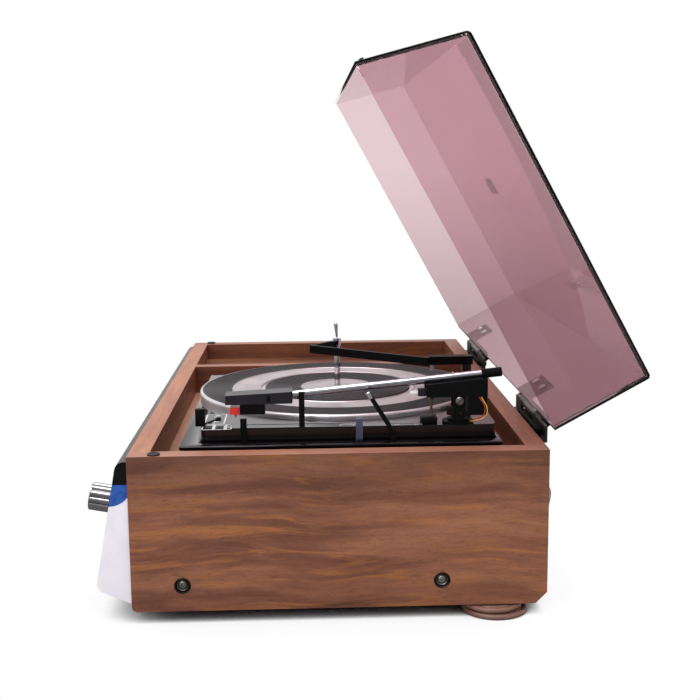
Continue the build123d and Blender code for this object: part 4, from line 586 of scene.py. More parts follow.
class Piece:
    """A piece on the bench: a bmesh in millimetres, handed over in metres in the row frame."""

    def __init__(self, name: str) -> None:
        """Starts an empty piece of that name."""
        self.name = name
        self.bm = bmesh.new()

    def place(self, verts: list, matrix: Matrix) -> None:
        """Moves some vertices by a matrix."""
        bmesh.ops.transform(self.bm, matrix=matrix, verts=verts)

    def since(self, before: set) -> list:
        """Returns the vertices that have come since a set of them was taken."""
        return [vert for vert in self.bm.verts if vert not in before]

    def block(self, low: Point, high: Point, soft: float = 0.0, turn: Matrix | None = None,
              segments: int = 2) -> None:
        """Adds a box between two corners.

        Args:
            low: Its lowest corner.
            high: Its highest corner.
            soft: The width of its rounded edges.
            turn: A matrix applied about its middle.
            segments: Steps in each rounded edge.
        """
        size = [high[i] - low[i] for i in range(3)]
        middle = Vector([(high[i] + low[i]) / 2 for i in range(3)])
        verts = bmesh.ops.create_cube(self.bm, size=1.0)["verts"]
        self.place(verts, Matrix.Diagonal((*size, 1.0)))
        if soft:
            edges = list({edge for vert in verts for edge in vert.link_edges})
            made = bmesh.ops.bevel(self.bm, geom=edges, offset=soft, segments=segments, profile=0.5,
                                   affect="EDGES", material=-1, clamp_overlap=True)
            verts = list({vert for face in made["faces"] for vert in face.verts} |
                         {vert for vert in verts if vert.is_valid})
        self.place(verts, Matrix.Translation(middle) @ (turn or Matrix.Identity(4)))

    def turned(self, profile: Profile, foot: Point, axis: Point = UP, steps: int = 64) -> None:
        """Adds a shape turned about an axis.

        Args:
            profile: Pairs of radius and height along the axis, from its foot.
            foot: Where the axis starts.
            axis: Its direction.
            steps: Steps of the full turn.
        """
        verts = [self.bm.verts.new((radius, 0.0, height)) for radius, height in profile]
        edges = [self.bm.edges.new(pair) for pair in zip(verts, verts[1:])]
        if profile[0][0] > 0.0 and profile[-1][0] > 0.0:
            edges.append(self.bm.edges.new((verts[-1], verts[0])))
        before = set(self.bm.verts) - set(verts)
        bmesh.ops.spin(self.bm, geom=verts + edges, cent=(0, 0, 0), axis=UP, angle=2 * pi,
                       steps=steps, use_merge=True, use_duplicate=False)
        bmesh.ops.remove_doubles(self.bm, verts=self.since(before), dist=0.0005)
        turn = Vector(UP).rotation_difference(Vector(axis)).to_matrix().to_4x4()
        self.place(self.since(before), Matrix.Translation(Vector(foot)) @ turn)

    def rod(self, start: Point, end: Point, radius: float, steps: int = 32,
            soft: float = 0.0) -> None:
        """Adds a round bar of that radius, its ends softened if soft is given."""
        way = Vector(end) - Vector(start)
        profile = [(0.0, 0.0), (radius, 0.0), (radius, way.length), (0.0, way.length)]
        if soft:
            profile[1:3] = [(radius - soft, 0.0), (radius, soft), (radius, way.length - soft),
                            (radius - soft, way.length)]
        self.turned(profile, start, tuple(way), steps)

    def prism(self, outline: list[Point], push: Point, soft: float = 0.0) -> None:
        """Adds a flat outline pushed along a vector.

        Args:
            outline: Its corners in order.
            push: The way and distance it is pushed.
            soft: The width of its rounded edges.
        """
        verts = [self.bm.verts.new(point) for point in outline]
        face = self.bm.faces.new(verts)
        made = bmesh.ops.extrude_face_region(self.bm, geom=[face], use_keep_orig=True)["geom"]
        top = [item for item in made if isinstance(item, bmesh.types.BMVert)]
        bmesh.ops.translate(self.bm, vec=push, verts=top)
        if soft:
            edges = list({edge for vert in verts + top for edge in vert.link_edges})
            bmesh.ops.bevel(self.bm, geom=edges, offset=soft, segments=2, profile=0.5,
                            affect="EDGES", material=-1, clamp_overlap=True)

    def hand_over(self, finish: Finish, body: str, slot: str, replaces: Sequence[str] = (),
                  crease: float = 32.0) -> bpy.types.Object:
        """Turns the bmesh into the finished piece.

        Args:
            finish: Its finish.
            body: The CAD body it rides on.
            slot: The record's slot for its finish; not used.
            replaces: CAD nodes that it stands for.
            crease: The angle in degrees past which an edge stays sharp.

        Returns:
            The piece's object.
        """
        bmesh.ops.scale(self.bm, vec=(MM, MM, MM), verts=self.bm.verts)
        bmesh.ops.recalc_face_normals(self.bm, faces=self.bm.faces)
        mesh = bpy.data.meshes.new(self.name)
        for face in self.bm.faces:
            face.smooth = True
        self.bm.to_mesh(mesh)
        self.bm.free()
        mesh.set_sharp_from_angle(angle=radians(crease))
        made = stand(self.name, mesh)
        mesh.materials.append(finish.material())
        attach(made, body)
        if replaces:
            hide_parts(*replaces)
        log.info("piece %s: %d faces, on %s", self.name, len(mesh.polygons), body)
        return made


@dataclass
class Studio:
    """The white room, its lamps and the camera that stands where the photographer stood."""

    eye: Point = (1.2527, -0.0250, 0.3924)
    lens: float = 58.85
    sensor: float = 36.0
    yaw: float = 0.037
    pitch: float = 0.163
    roll: float = -0.009
    floor_size: float = 16.0
    lamps: tuple = (("overhead", (0.3, -0.2, 2.2), (0.0, 0.0, 0.1), 1.6, 42.0),
                    ("side_fill", (2.3, -1.0, 1.3), (0.2, 0.0, 0.1), 1.2, 16.0))

    def camera(self) -> None:
        """Sets the camera, above the cabinet's top rim and a little to the front."""
        data = bpy.data.cameras.new("camera")
        data.lens = self.lens
        data.sensor_width = self.sensor
        ahead = Vector((-cos(self.yaw), sin(self.yaw), 0.0))
        right = Vector((sin(self.yaw), cos(self.yaw), 0.0))
        up = Vector(UP)
        tipped = ahead * cos(self.pitch) - up * sin(self.pitch)
        risen = up * cos(self.pitch) + ahead * sin(self.pitch)
        side = right * cos(self.roll) + risen * sin(self.roll)
        top = risen * cos(self.roll) - right * sin(self.roll)
        made = stand("camera", data)
        made.matrix_world = Matrix.Translation(self.eye) @ Matrix(
            (side, top, -tipped)).transposed().to_4x4()
        bpy.context.scene.camera = made

    def white_rays(self, tree: bpy.types.NodeTree) -> bpy.types.NodeSocket:
        """Returns 1 for the rays that see the background: camera, mirror and glass rays."""
        path = add_node(tree, "ShaderNodeLightPath").outputs
        seen = add_node(tree, "ShaderNodeMath", {
            0: path["Is Camera Ray"], 1: path["Is Glossy Ray"]}, operation="MAXIMUM")
        both = add_node(tree, "ShaderNodeMath", {
            0: seen.outputs[0], 1: path["Is Transmission Ray"]}, operation="MAXIMUM")
        return both.outputs[0]

    def mirror_rays(self, tree: bpy.types.NodeTree) -> bpy.types.NodeSocket:
        """Returns 1 for rays that a polished surface throws back, 0 for those through glass."""
        path = add_node(tree, "ShaderNodeLightPath").outputs
        back = add_node(tree, "ShaderNodeMath", {
            0: path["Is Glossy Ray"], 1: path["Is Transmission Ray"]},
            operation="SUBTRACT", use_clamp=True)
        return back.outputs[0]

    def floor(self) -> None:
        """Lays the white floor, with painted contact shade where the cabinet stands close over it.
        """
        bm = bmesh.new()
        bmesh.ops.create_grid(bm, x_segments=1, y_segments=1, size=self.floor_size / 2)
        mesh = bpy.data.meshes.new("studio_floor")
        bm.to_mesh(mesh)
        bm.free()
        material = bpy.data.materials.new("seamless_paper")
        material.use_nodes = True
        tree = material.node_tree
        tree.nodes.clear()
        near = add_node(tree, "ShaderNodeAmbientOcclusion", {"Distance": 0.11}, samples=8)
        open_air = add_node(tree, "ShaderNodeValToRGB", {"Fac": near.outputs["AO"]},
                            ((0.18, 0.0), (0.55, 1.0)))
        glow = add_node(tree, "ShaderNodeMath", {
            0: open_air.outputs[0], 1: self.white_rays(tree)}, operation="MULTIPLY")
        # Where ambient occlusion is low the glow fades and the colour turns dark: painted contact
        # shade
        tone = add_node(tree, "ShaderNodeMix", {
            0: near.outputs["AO"], 6: linear("#3a3230"), 7: linear("#f0f0f2")}, data_type="RGBA")
        mirror = self.mirror_rays(tree)
        seen = add_node(tree, "ShaderNodeMix", {
            0: mirror, 6: tone.outputs[2], 7: linear("#8c8a8c")}, data_type="RGBA")
        level = add_node(tree, "ShaderNodeMapRange", {
            "Value": mirror, "To Min": 1.0, "To Max": 0.30})
        paper = add_node(tree, "ShaderNodeBsdfDiffuse", {"Color": seen.outputs[2]})
        light = add_node(tree, "ShaderNodeEmission", {
            "Color": linear("#ffffff"), "Strength": level.outputs[0]})
        both = add_node(tree, "ShaderNodeMixShader", {
            0: glow.outputs[0], 1: paper.outputs[0], 2: light.outputs[0]})
        add_node(tree, "ShaderNodeOutputMaterial", {"Surface": both.outputs[0]})
        mesh.materials.append(material)
        stand("studio_floor", mesh)

    def world(self) -> None:
        """Makes the room white to the eye and plainly lit, with darker walls in what mirrors it."""
        world = bpy.data.worlds.new("studio")
        bpy.context.scene.world = world
        world.use_nodes = True
        tree = world.node_tree
        tree.nodes.clear()
        level = add_node(tree, "ShaderNodeMapRange", {
            "Value": self.white_rays(tree), "To Min": 0.62, "To Max": 1.0})
        way = add_node(tree, "ShaderNodeSeparateXYZ", {
            0: add_node(tree, "ShaderNodeTexCoord").outputs["Generated"]})
        behind = add_node(tree, "ShaderNodeMapRange", {
            "Value": way.outputs["X"], "From Min": -0.1, "From Max": 0.3},
            interpolation_type="SMOOTHSTEP")
        walls = add_node(tree, "ShaderNodeValToRGB", {"Fac": way.outputs["Z"]},
                         ((0.0, 0.85), (0.20, 0.85), (0.26, 0.15), (0.36, 0.15), (0.42, 0.8),
                          (0.58, 0.8), (0.75, 0.0)))
        dim = add_node(tree, "ShaderNodeMath", {
            0: behind.outputs[0], 1: walls.outputs[0]}, operation="MULTIPLY")
        glossy = add_node(tree, "ShaderNodeMath", {
            0: dim.outputs[0], 1: self.mirror_rays(tree)}, operation="MULTIPLY")
        darker = add_node(tree, "ShaderNodeMath", {
            0: 1.0, 1: glossy.outputs[0]}, operation="SUBTRACT")
        strength = add_node(tree, "ShaderNodeMath", {
            0: level.outputs[0], 1: darker.outputs[0]}, operation="MULTIPLY")
        sky = add_node(tree, "ShaderNodeBackground", {
            "Color": linear("#ffffff"), "Strength": strength.outputs[0]})
        add_node(tree, "ShaderNodeOutputWorld", {"Surface": sky.outputs[0]})

    def lamp(self, name: str, at: Point, aim: Point, size: float, power: float) -> None:
        """Adds a soft square lamp of that size in metres and power in watts, aimed at a point."""
        data = bpy.data.lights.new(name, "AREA")
        data.size = size
        data.energy = power
        way = (Vector(aim) - Vector(at)).to_track_quat("-Z", "Y")
        stand(name, data).matrix_world = Matrix.Translation(at) @ way.to_matrix().to_4x4()

    def build(self) -> None:
        """Builds the studio."""
        bpy.context.scene.view_settings.view_transform = "Standard"
        self.camera()
        self.floor()
        self.world()
        for lamp in self.lamps:
            self.lamp(*lamp)
        log.info("studio built")


@dataclass
class MainsLead:
    """The lead from its gland: a free run over the floor, an oval coil and the plug."""

    radius: float = 2.3
    exit: Point = (-110.0, 205.0, 33.0)
    run: tuple[Point, ...] = (
        (-110, 225, 33), (-108, 243, 18), (-98, 258, 2.3), (-70, 263, 2.3), (-28, 253, 2.3),
        (22, 238, 2.3), (74, 212, 2.3), (124, 189, 2.3), (170, 173, 2.3), (211, 164.7, 2.3))
    tail: tuple[Point, ...] = (
        (224, 109.3, 7.5), (196, 107, 3.4), (168, 101, 2.3), (140, 88, 2.3), (117, 67, 3),
        (104, 41, 4.75), (98, 15, 4.75))
    coil_radii: tuple[float, ...] = (27.7, 25.1, 22.5, 19.9, 17.3, 14.7, 14.7, 17.3, 19.9, 22.5,
                                     25.1)
    coil_y: float = 164.7
    coil_right: float = 291.0
    coil_left: float = 256.0
    low: float = 2.3
    high: float = 7.5
    lower_turns: int = 6
    relief_y: float = 179.0
    ribs: int = 6
    rib_start: float = 4.0
    rib_pitch: float = 3.1
    rib_radius: float = 6.0
    rib_taper: float = 0.46
    rib_deep: float = 1.1
    relief_foot: Profile = ((0.0, 0.0), (7.5, 0.0), (7.5, 1.6), (7.1, 2.0), (6.0, 2.2))
    relief_tip: Profile = ((3.2, 23.0), (3.2, 25.6), (2.6, 26.0), (0.0, 26.0))

    def coil(self) -> list[Point]:
        """Returns the coil's points: half turns inwards on the floor, then outwards on top."""
        points = []
        y = self.coil_y
        heading = 1
        for step, radius in enumerate(self.coil_radii):
            end = self.coil_right if heading > 0 else self.coil_left
            height = self.low if step < self.lower_turns else self.high
            middle = y - heading * radius
            reach = radius / cos(radians(15))
            for angle in range(75, -76, -30):
                points.append((end + heading * reach * cos(radians(angle)),
                               middle + heading * reach * sin(radians(angle)), height))
            y = middle - heading * radius
            heading = -heading
        return points

    def relief(self) -> bpy.types.Object:
        """Builds the tapered strain relief, ribbed so that it bends evenly."""
        piece = Piece("strain_relief")
        profile = list(self.relief_foot)
        for rib in range(self.ribs):
            height = self.rib_start + rib * self.rib_pitch
            wide = self.rib_radius - rib * self.rib_taper
            narrow = wide - self.rib_deep
            profile += [(wide, height - 0.6), (wide, height + 0.9), (narrow, height + 1.2),
                        (narrow, height + 2.1)]
        profile += self.relief_tip
        piece.turned(profile, (self.exit[0], self.relief_y, self.exit[2]), BACKWARDS, 40)
        return piece.hand_over(MATT_STYRENE, "cabinet", "matte_black", ("cord_gland",))

    def build(self) -> None:
        """Builds the lead and what is on it."""
        dress(CORD_VINYL, "power_plug")
        points = [self.exit, *self.run, *self.coil(), *self.tail]
        lead = lay_lead("mains_lead", CORD_VINYL, points, self.radius, 6, 3)
        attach(lead, "cabinet")
        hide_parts("cord_lead", "cord_coil", "cord_tail")
        relief = self.relief()
        log.info("mains lead built")


@dataclass
class Cabinet:
    """Walnut panels, boards, feet, bumpers and the screws that hold the receiver in."""

    side: float = 310.0
    back: float = 179.0
    base: float = 11.0
    rim: float = 148.5
    screw_ys: tuple[float, ...] = (-136.0, 88.0)
    screw_z: float = 34.0
    cup_depth: float = 4.5
    cup: Profile = ((2.6, 0.0), (6.4, 0.0), (6.4, 4.55), (7.1, 4.6), (7.2, 4.8), (6.6, 5.1),
                    (5.9, 4.6), (5.4, 3.2), (5.2, 1.1), (2.6, 0.9))
    pan_head: Profile = ((0.0, 1.9), (1.1, 2.1), (1.5, 3.5), (2.4, 3.5), (3.3, 3.1), (3.9, 2.3),
                         (4.0, 1.2), (2.4, 1.0), (2.4, -17.0), (1.8, -18.5), (0.0, -18.5))
    spring_ring: Profile = ((4.3, 1.1), (5.1, 1.1), (5.1, 2.6), (4.8, 3.0), (4.4, 2.7))
    foot_places: tuple = ((-180, -140), (180, -140), (180, 140), (-180, 140))
    foot: Profile = ((2.2, 5.0), (4.6, 5.0), (4.6, 0.5), (5.0, 0.0), (10.1, 0.0), (10.8, 0.6),
                     (11.1, 3.0), (11.1, 4.0), (11.5, 4.4), (12.0, 11.0), (2.2, 11.0))
    foot_screw: Profile = ((0.0, 3.4), (1.8, 3.4), (3.4, 3.9), (3.9, 4.9), (2.0, 5.0),
                           (2.0, 16.0), (0.0, 17.0))
    bumper_places: tuple = ((-303.5, -157.5), (303.5, -157.5))
    bumper: Profile = ((0.0, 0.0), (5.5, 0.0), (5.5, 1.0), (5.0, 1.6), (2.6, 1.8), (2.1, 1.2),
                       (0.0, 1.2))
    wood_screw: Profile = ((0.0, -9.0), (1.3, -6.0), (1.3, 0.0), (3.2, 0.0), (3.0, 0.7),
                           (2.2, 1.3), (0.7, 1.5), (0.6, 0.9), (0.0, 0.9))
    back_screw_xs: tuple[float, ...] = (-284, -142, 0, 142, 284)
    back_screw_zs: tuple[float, ...] = (17.0, 95.0)
    base_screw_xs: tuple[float, ...] = (-280, -93, 93, 280)
    base_screw_ys: tuple[float, ...] = (-168.0, 166.0)
    socket_xs: tuple[float, ...] = (120, 138, 156, 174)
    socket_z: float = 69.0
    socket_shell: Profile = ((1.6, 4.6), (3.3, 4.6), (3.3, 8.6), (3.6, 9.0), (4.2, 9.0),
                             (4.4, 8.6), (4.4, 0.6), (6.0, 0.6), (6.5, 0.3), (6.5, 0.0), (1.6, 0.0))
    socket_collar: Profile = ((4.7, 0.6), (5.9, 0.6), (5.9, 1.3), (5.6, 1.6), (5.0, 1.6),
                              (4.7, 1.3))

    def side_places(self) -> list[tuple[Point, Point]]:
        """Returns each side screw's foot in its counterbore and the way that it faces."""
        return [((way * (self.side - self.cup_depth), y, self.screw_z), (way, 0, 0))
                for way in (1, -1) for y in self.screw_ys]

    def cup_washers(self) -> None:
        """Turns the four blackened cup washers, each sunk in its counterbore with a thin flange."""
        piece = Piece("cup_washers")
        for foot, way in self.side_places():
            piece.turned(self.cup, foot, way, 48)
        piece.hand_over(BLACKED_STEEL, "cabinet", "zinc_steel", ("side_screws",))

    def side_screws(self) -> None:
        """Turns the pan-headed screws and the bright spring ring under each head."""
        piece = Piece("receiver_screws")
        for foot, way in self.side_places():
            piece.turned(self.pan_head, foot, way, 40)
            piece.turned(self.spring_ring, foot, way, 40)
        piece.hand_over(ZINC_PLATE, "cabinet", "zinc_steel", ("side_screws",))

    def feet(self) -> None:
        """Turns the hollow rubber feet, the screws up inside them and the lid bumpers."""
        feet, bumpers, screws = Piece("cabinet_feet"), Piece("lid_bumpers"), Piece("foot_screws")
        for x, y in self.foot_places:
            feet.turned(self.foot, (x, y, 0.0), UP, 48)
            screws.turned(self.foot_screw, (x, y, 0.0), UP, 28)
        for x, y in self.bumper_places:
            bumpers.turned(self.bumper, (x, y, self.rim), UP, 40)
        feet.hand_over(SOFT_RUBBER, "cabinet", "pad_rubber", ("rubber_pads",))
        bumpers.hand_over(SOFT_RUBBER, "cabinet", "pad_rubber", ("rubber_pads",))
        screws.hand_over(ZINC_PLATE, "cabinet", "zinc_steel")

    def board_screws(self) -> None:
        """Turns the wood screws round the hardboard back, and those under the base board."""
        piece = Piece("board_screws")
        for x in self.back_screw_xs:
            for z in self.back_screw_zs:
                piece.turned(self.wood_screw, (x, self.back, z), BACKWARDS, 24)
        for x in self.base_screw_xs:
            for y in self.base_screw_ys:
                piece.turned(self.wood_screw, (x, y, self.base), (0, 0, -1), 24)
        piece.hand_over(ZINC_PLATE, "cabinet", "zinc_steel")

    def sockets(self) -> None:
        """Turns the metal shells and red collars of the phono sockets."""
        collars = Piece("socket_collars")
        shells = Piece("socket_shells")
        for x in self.socket_xs:
            foot = (x, self.back, self.socket_z)
            shells.turned(self.socket_shell, foot, BACKWARDS, 36)
            collars.turned(self.socket_collar, foot, BACKWARDS, 36)
        shells.hand_over(ZINC_PLATE, "cabinet", "zinc_steel")
        collars.hand_over(RED_STYRENE, "cabinet", "red_plastic")

    def build(self) -> None:
        """Builds and dresses the cabinet."""
        dress(SIDE_VENEER, "side_panel_right")
        dress(LEFT_VENEER, "side_panel_left", "tray_divider")
        dress(RAIL_VENEER, "end_rails")
        dress(TRAY_VENEER, "tray_floor")
        dress(FACED_BOARD, "motor_board")
        dress(CHIP_BOARD, "base_board")
        dress(HARDBOARD, "back_panel")
        dress(MATT_STYRENE, "rear_sockets")
        self.cup_washers()
        self.side_screws()
        self.feet()
        self.board_screws()
        self.sockets()


@dataclass
class DustCover:
    """The tinted cover, its blank plate, and the two sprung hinges that hold it open."""

    axis: tuple[float, float] = (193.2, 152.7)
    open_angle: float = 61.3
    half: float = 310.0
    wall: float = 4.2
    front: float = -365.2
    top_front: float = -342.0
    back: float = -15.2
    rim: float = -2.1
    crown: float = 90.8
    crest: float = 3.6
    corner: float = 0.8
    starts: tuple[float, ...] = (-252.0, 108.0)
    clip_thick: float = 1.5
    clip_screw_xs: tuple[float, ...] = (44.0, 74.0)
    clip_screw_rise: float = 17.0
    clip_screw: Profile = ((0.0, -0.4), (2.8, -0.4), (2.8, 0.5), (2.2, 1.1), (0.9, 1.4), (0.8, 0.8),
                           (0.0, 0.8))
    clip_washer: Profile = ((0.0, -1.6), (1.9, -1.6), (2.2, -1.2), (2.2, -0.8), (3.5, -0.8),
                            (3.7, -0.5), (3.7, 0.0), (0.0, 0.0))
    spring_run: tuple[float, float] = (89.5, 119.0)
    spring_turns: int = 12
    sleeve_start: float = 30.6
    sleeve: Profile = ((5.05, 0.0), (5.15, 0.0), (5.4, 0.3), (5.4, 56.5), (5.15, 56.8),
                       (5.05, 56.8))
    saddle: Corners = ((30.0, 184.0, 142.3), (120.0, 195.0, 147.2))
    buffer_xs: tuple[float, ...] = (-300.0, 300.0)
    buffer_at: tuple[float, float] = (-364.0, 3.6)
    buffer: Profile = ((0.0, 0.0), (2.4, 0.0), (2.4, 0.9), (1.8, 1.6), (0.0, 1.8))

    def spot(self, x: float, back: float, rise: float) -> Point:
        """Returns where a point of the open cover lies, given behind and above its hinge axis."""
        turn = radians(self.open_angle)
        return (x, self.axis[0] + back * cos(turn) + rise * sin(turn),
                self.axis[1] - back * sin(turn) + rise * cos(turn))

    def behind(self) -> Point:
        """Returns the way that the open cover's back wall faces."""
        turn = radians(self.open_angle)
        return (0.0, cos(turn), -sin(turn))

    def mouth(self, bm: bmesh.types.BMesh) -> list[bmesh.types.BMFace]:
        """Returns the faces that close the cover's mouth."""
        down = Vector(self.spot(0, 0, 0)) - Vector(self.spot(0, 0, 1))
        return [face for face in bm.faces if face.normal.dot(down) > 0.95]

    def soften(self, bm: bmesh.types.BMesh, edges: list, width: float, segments: int) -> None:
        """Rounds the edges that aren't on the cover's mouth."""
        rim = {edge for face in self.mouth(bm) for edge in face.edges}
        bmesh.ops.bevel(bm, geom=[edge for edge in edges if edge not in rim], offset=width,
                        segments=segments, profile=0.5, affect="EDGES", material=-1,
                        clamp_overlap=True)

    def shell(self) -> None:
        """Builds the cover: four walls and a plate of one thickness, with tight outer edges."""
        piece = Piece("tinted_cover")
        corners = ((self.front, self.rim), (self.top_front, self.crown), (self.back, self.crown),
                   (self.back, self.rim))
        piece.prism([self.spot(-self.half, *corner) for corner in corners],
                    (2 * self.half, 0.0, 0.0))
        bm = piece.bm
        bmesh.ops.recalc_face_normals(bm, faces=bm.faces)
        bm.normal_update()
        crests = [edge for edge in bm.edges
                  if abs((edge.verts[0].co - edge.verts[1].co).x) > self.half]
        self.soften(bm, crests, self.crest, 5)
        sides = {edge for face in bm.faces if abs(face.normal.x) > 0.9 for edge in face.edges}
        self.soften(bm, [edge for edge in bm.edges if edge in sides], self.corner, 2)
        bmesh.ops.delete(bm, geom=self.mouth(bm), context="FACES_ONLY")
        made = piece.hand_over(COVER_ACRYLIC, "cover", "tinted_acrylic", ("dust_cover",), 20.0)
        self.harden_mouth(made.data)
        wall = made.modifiers.new("wall", "SOLIDIFY")
        wall.thickness = self.wall * MM
        wall.offset = -1.0
        wall.use_even_offset = True

    def harden_mouth(self, mesh: bpy.types.Mesh) -> None:
        """Marks the open edge sharp, so the walls stay flat to the eye where they end."""
        bm = bmesh.new()
        bm.from_mesh(mesh)
        for edge in bm.edges:
            if edge.is_boundary:
                edge.smooth = False
        bm.to_mesh(mesh)
        bm.free()

    def clip_fixings(self) -> None:
        """Turns the screws through each clip, and the pale washers inside the cover's back wall."""
        heads = Piece("clip_screws")
        washers = Piece("clip_washers")
        for start in self.starts:
            for along in self.clip_screw_xs:
                x = start + along
                heads.turned(self.clip_screw, self.spot(x, self.back + self.clip_thick,
                                                        self.clip_screw_rise), self.behind(), 28)
                washers.turned(self.clip_washer, self.spot(x, self.back - self.wall,
                                                           self.clip_screw_rise), self.behind(), 28)
        heads.hand_over(ZINC_PLATE, "cover", "zinc_steel")
        washers.hand_over(CLIP_STEEL, "cover", "zinc_steel")

    def springs(self) -> None:
        """Winds the torsion spring that fills each hinge between the clip and the last knuckle."""
        piece = Piece("hinge_springs")
        first, last = self.spring_run
        pitch = (last - first) / self.spring_turns
        edge = pitch * 0.42
        wire = [(4.9, -edge), (5.3, 0.0), (4.9, edge), (3.6, edge), (3.2, 0.0), (3.6, -edge)]
        for start in self.starts:
            for step in range(self.spring_turns):
                x = start + first + (step + 0.5) * pitch
                piece.turned(wire, (x, *self.axis), SIDEWAYS, 32)
        piece.hand_over(BLACKED_STEEL, "cabinet", "zinc_steel", crease=50.0)

    def sleeves(self) -> None:
        """Turns the sleeve round each clip's knuckle, dark with the hinge steel's painted shade,
        and the saddle under the barrel.
        """
        sleeves = Piece("knuckle_sleeves")
        saddles = Piece("hinge_saddles")
        low, high = self.saddle
        for start in self.starts:
            sleeves.turned(self.sleeve, (start + self.sleeve_start, *self.axis), SIDEWAYS, 40)
            saddles.block((start + low[0], *low[1:]), (start + high[0], *high[1:]), 0.4)
        sleeves.hand_over(HINGE_STEEL, "cover", "bright_steel")
        saddles.hand_over(MATT_STYRENE, "cabinet", "bright_steel")

    def buffers(self) -> None:
        """Adds the two small rubber buffers near the lower corners of the cover's front wall."""
        _, along, down = self.behind()
        piece = Piece("cover_buffers")
        for x in self.buffer_xs:
            piece.turned(self.buffer, self.spot(x, *self.buffer_at), (0.0, -along, -down), 24)
        piece.hand_over(SOFT_RUBBER, "cover", "pad_rubber")

    def build(self) -> None:
        """Builds and dresses the cover and hinges."""
        dress(MATT_STYRENE, "lid_badge")
        dress(HINGE_STEEL, "hinge_bases", "hinge_fasteners")
        dress(CLIP_STEEL, "hinge_clips")
        self.shell()
        self.clip_fixings()
        self.springs()
        self.sleeves()
        self.buffers()


@dataclass
class Turntable:
    """Platter with its ribbed mats, trim ring and cap, the tall spindle and the drive under it."""

    centre: tuple[float, float] = (98.0, 4.5)
    seat: float = 164.0
    radius: float = 140.0
    rim_top: float = 165.9
    roll: float = 2.6
    underside: Profile = ((8.05, 148.5), (13.0, 148.5), (13.0, 160.4), (13.6, 161.0),
                          (136.9, 161.0), (137.5, 160.4), (137.5, 153.9), (137.9, 153.5),
                          (139.2, 153.5), (139.6, 153.9), (139.6, 160.6))
    upper_side: Profile = ((137.9, 165.6), (137.7, 164.0), (8.05, 164.0))
    mats: tuple = ((137.4, 108.0), (74.0, 38.0))
    mat_high: float = 2.0
    groove: float = 0.75
    rib: float = 2.3
    trim_ring: Profile = ((78.0, 0.0), (78.0, 1.3), (78.5, 1.7), (79.4, 1.7), (80.0, 1.2),
                          (92.0, 1.35), (105.6, 1.2), (106.2, 1.7), (107.2, 1.7), (107.7, 1.3),
                          (107.7, 0.0))
    cap: Profile = ((3.6, 0.0), (3.6, 1.5), (3.9, 1.7), (12.0, 1.7), (13.0, 1.1), (35.0, 1.25),
                    (35.8, 1.7), (37.2, 1.7), (37.7, 1.3), (37.7, 0.0))
    pusher: Profile = ((0.0, 0.0), (1.5, 0.0), (2.0, 0.6), (2.0, 6.6), (0.0, 6.6))
    pusher_at: Point = (182.0, 93.0, 195.2)

    def mat(self, piece: Piece, outer: float, inner: float) -> None:
        """Adds one mat ring with concentric ribs and a plain border.

        Args:
            piece: The piece that gets it.
            outer: Outer radius.
            inner: Inner radius.
        """
        high = self.mat_high
        low = high - self.groove
        profile = [(inner, 0.0), (inner, high - 0.3), (inner + 0.3, high), (inner + 2.2, high),
                   (inner + 2.5, low)]
        radius = inner + 3.1
        while radius + self.rib < outer - 2.6:
            profile += [(radius, low), (radius + 0.3, high - 0.1), (radius + 1.2, high - 0.1),
                        (radius + 1.5, low)]
            radius += self.rib
        profile += [(outer - 2.5, low), (outer - 2.2, high), (outer - 0.3, high),
                    (outer, high - 0.3), (outer, 0.0)]
        piece.turned(profile, (*self.centre, self.seat), UP, 128)

    def platter(self) -> None:
        """Turns the platter, whose outer edge is rolled over and brightly polished."""
        piece = Piece("turned_platter")
        middle = (self.radius - self.roll, self.rim_top - self.roll)
        rolled = [(middle[0] + self.roll * cos(radians(angle)),
                   middle[1] + self.roll * sin(radians(angle))) for angle in range(0, 100, 15)]
        profile = [*self.underside, *rolled, *self.upper_side]
        piece.turned([(radius, z - self.seat) for radius, z in profile],
                     (*self.centre, self.seat), UP, 160)
        piece.hand_over(PLATTER_METAL, "turntable", "spun_aluminium", ("platter",), 40.0)

    def mat_rings(self) -> None:
        """Turns the two mat rings."""
        piece = Piece("ribbed_mats")
        for outer, inner in self.mats:
            self.mat(piece, outer, inner)
        piece.hand_over(MAT_RUBBER, "turntable", "mat_rubber", ("platter_mats",), 50.0)

    def trim(self) -> None:
        """Turns the bright ring between the mats and the cap in the middle, with beaded edges."""
        piece = Piece("trim_ring_and_cap")
        piece.turned(self.trim_ring, (*self.centre, self.seat), UP, 128)
        piece.turned(self.cap, (*self.centre, self.seat), UP, 96)
        piece.hand_over(TRIM_METAL, "turntable", "spun_aluminium", ("platter_trim",))

    def record_pusher(self) -> None:
        """Turns the pale nylon pin under the overarm."""
        piece = Piece("record_pusher")
        piece.turned(self.pusher, self.pusher_at, UP, 24)
        piece.hand_over(NYLON, "overarm", "grey_plastic")

    def build(self) -> None:
        """Builds and dresses the turntable and its drive."""
        self.platter()
        dress(BRASS, "bearing_sleeve", "motor_pulley")
        dress(SOFT_RUBBER, "idler_wheel")
        dress(CHROME, "record_spindle")
        dress(BLACKED_STEEL, "overarm_shaft")
        dress(MOTOR_PAINT, "motor")
        dress(TEXTURED_STYRENE, "overarm_hook")
        self.mat_rings()
        self.trim()
        self.record_pusher()


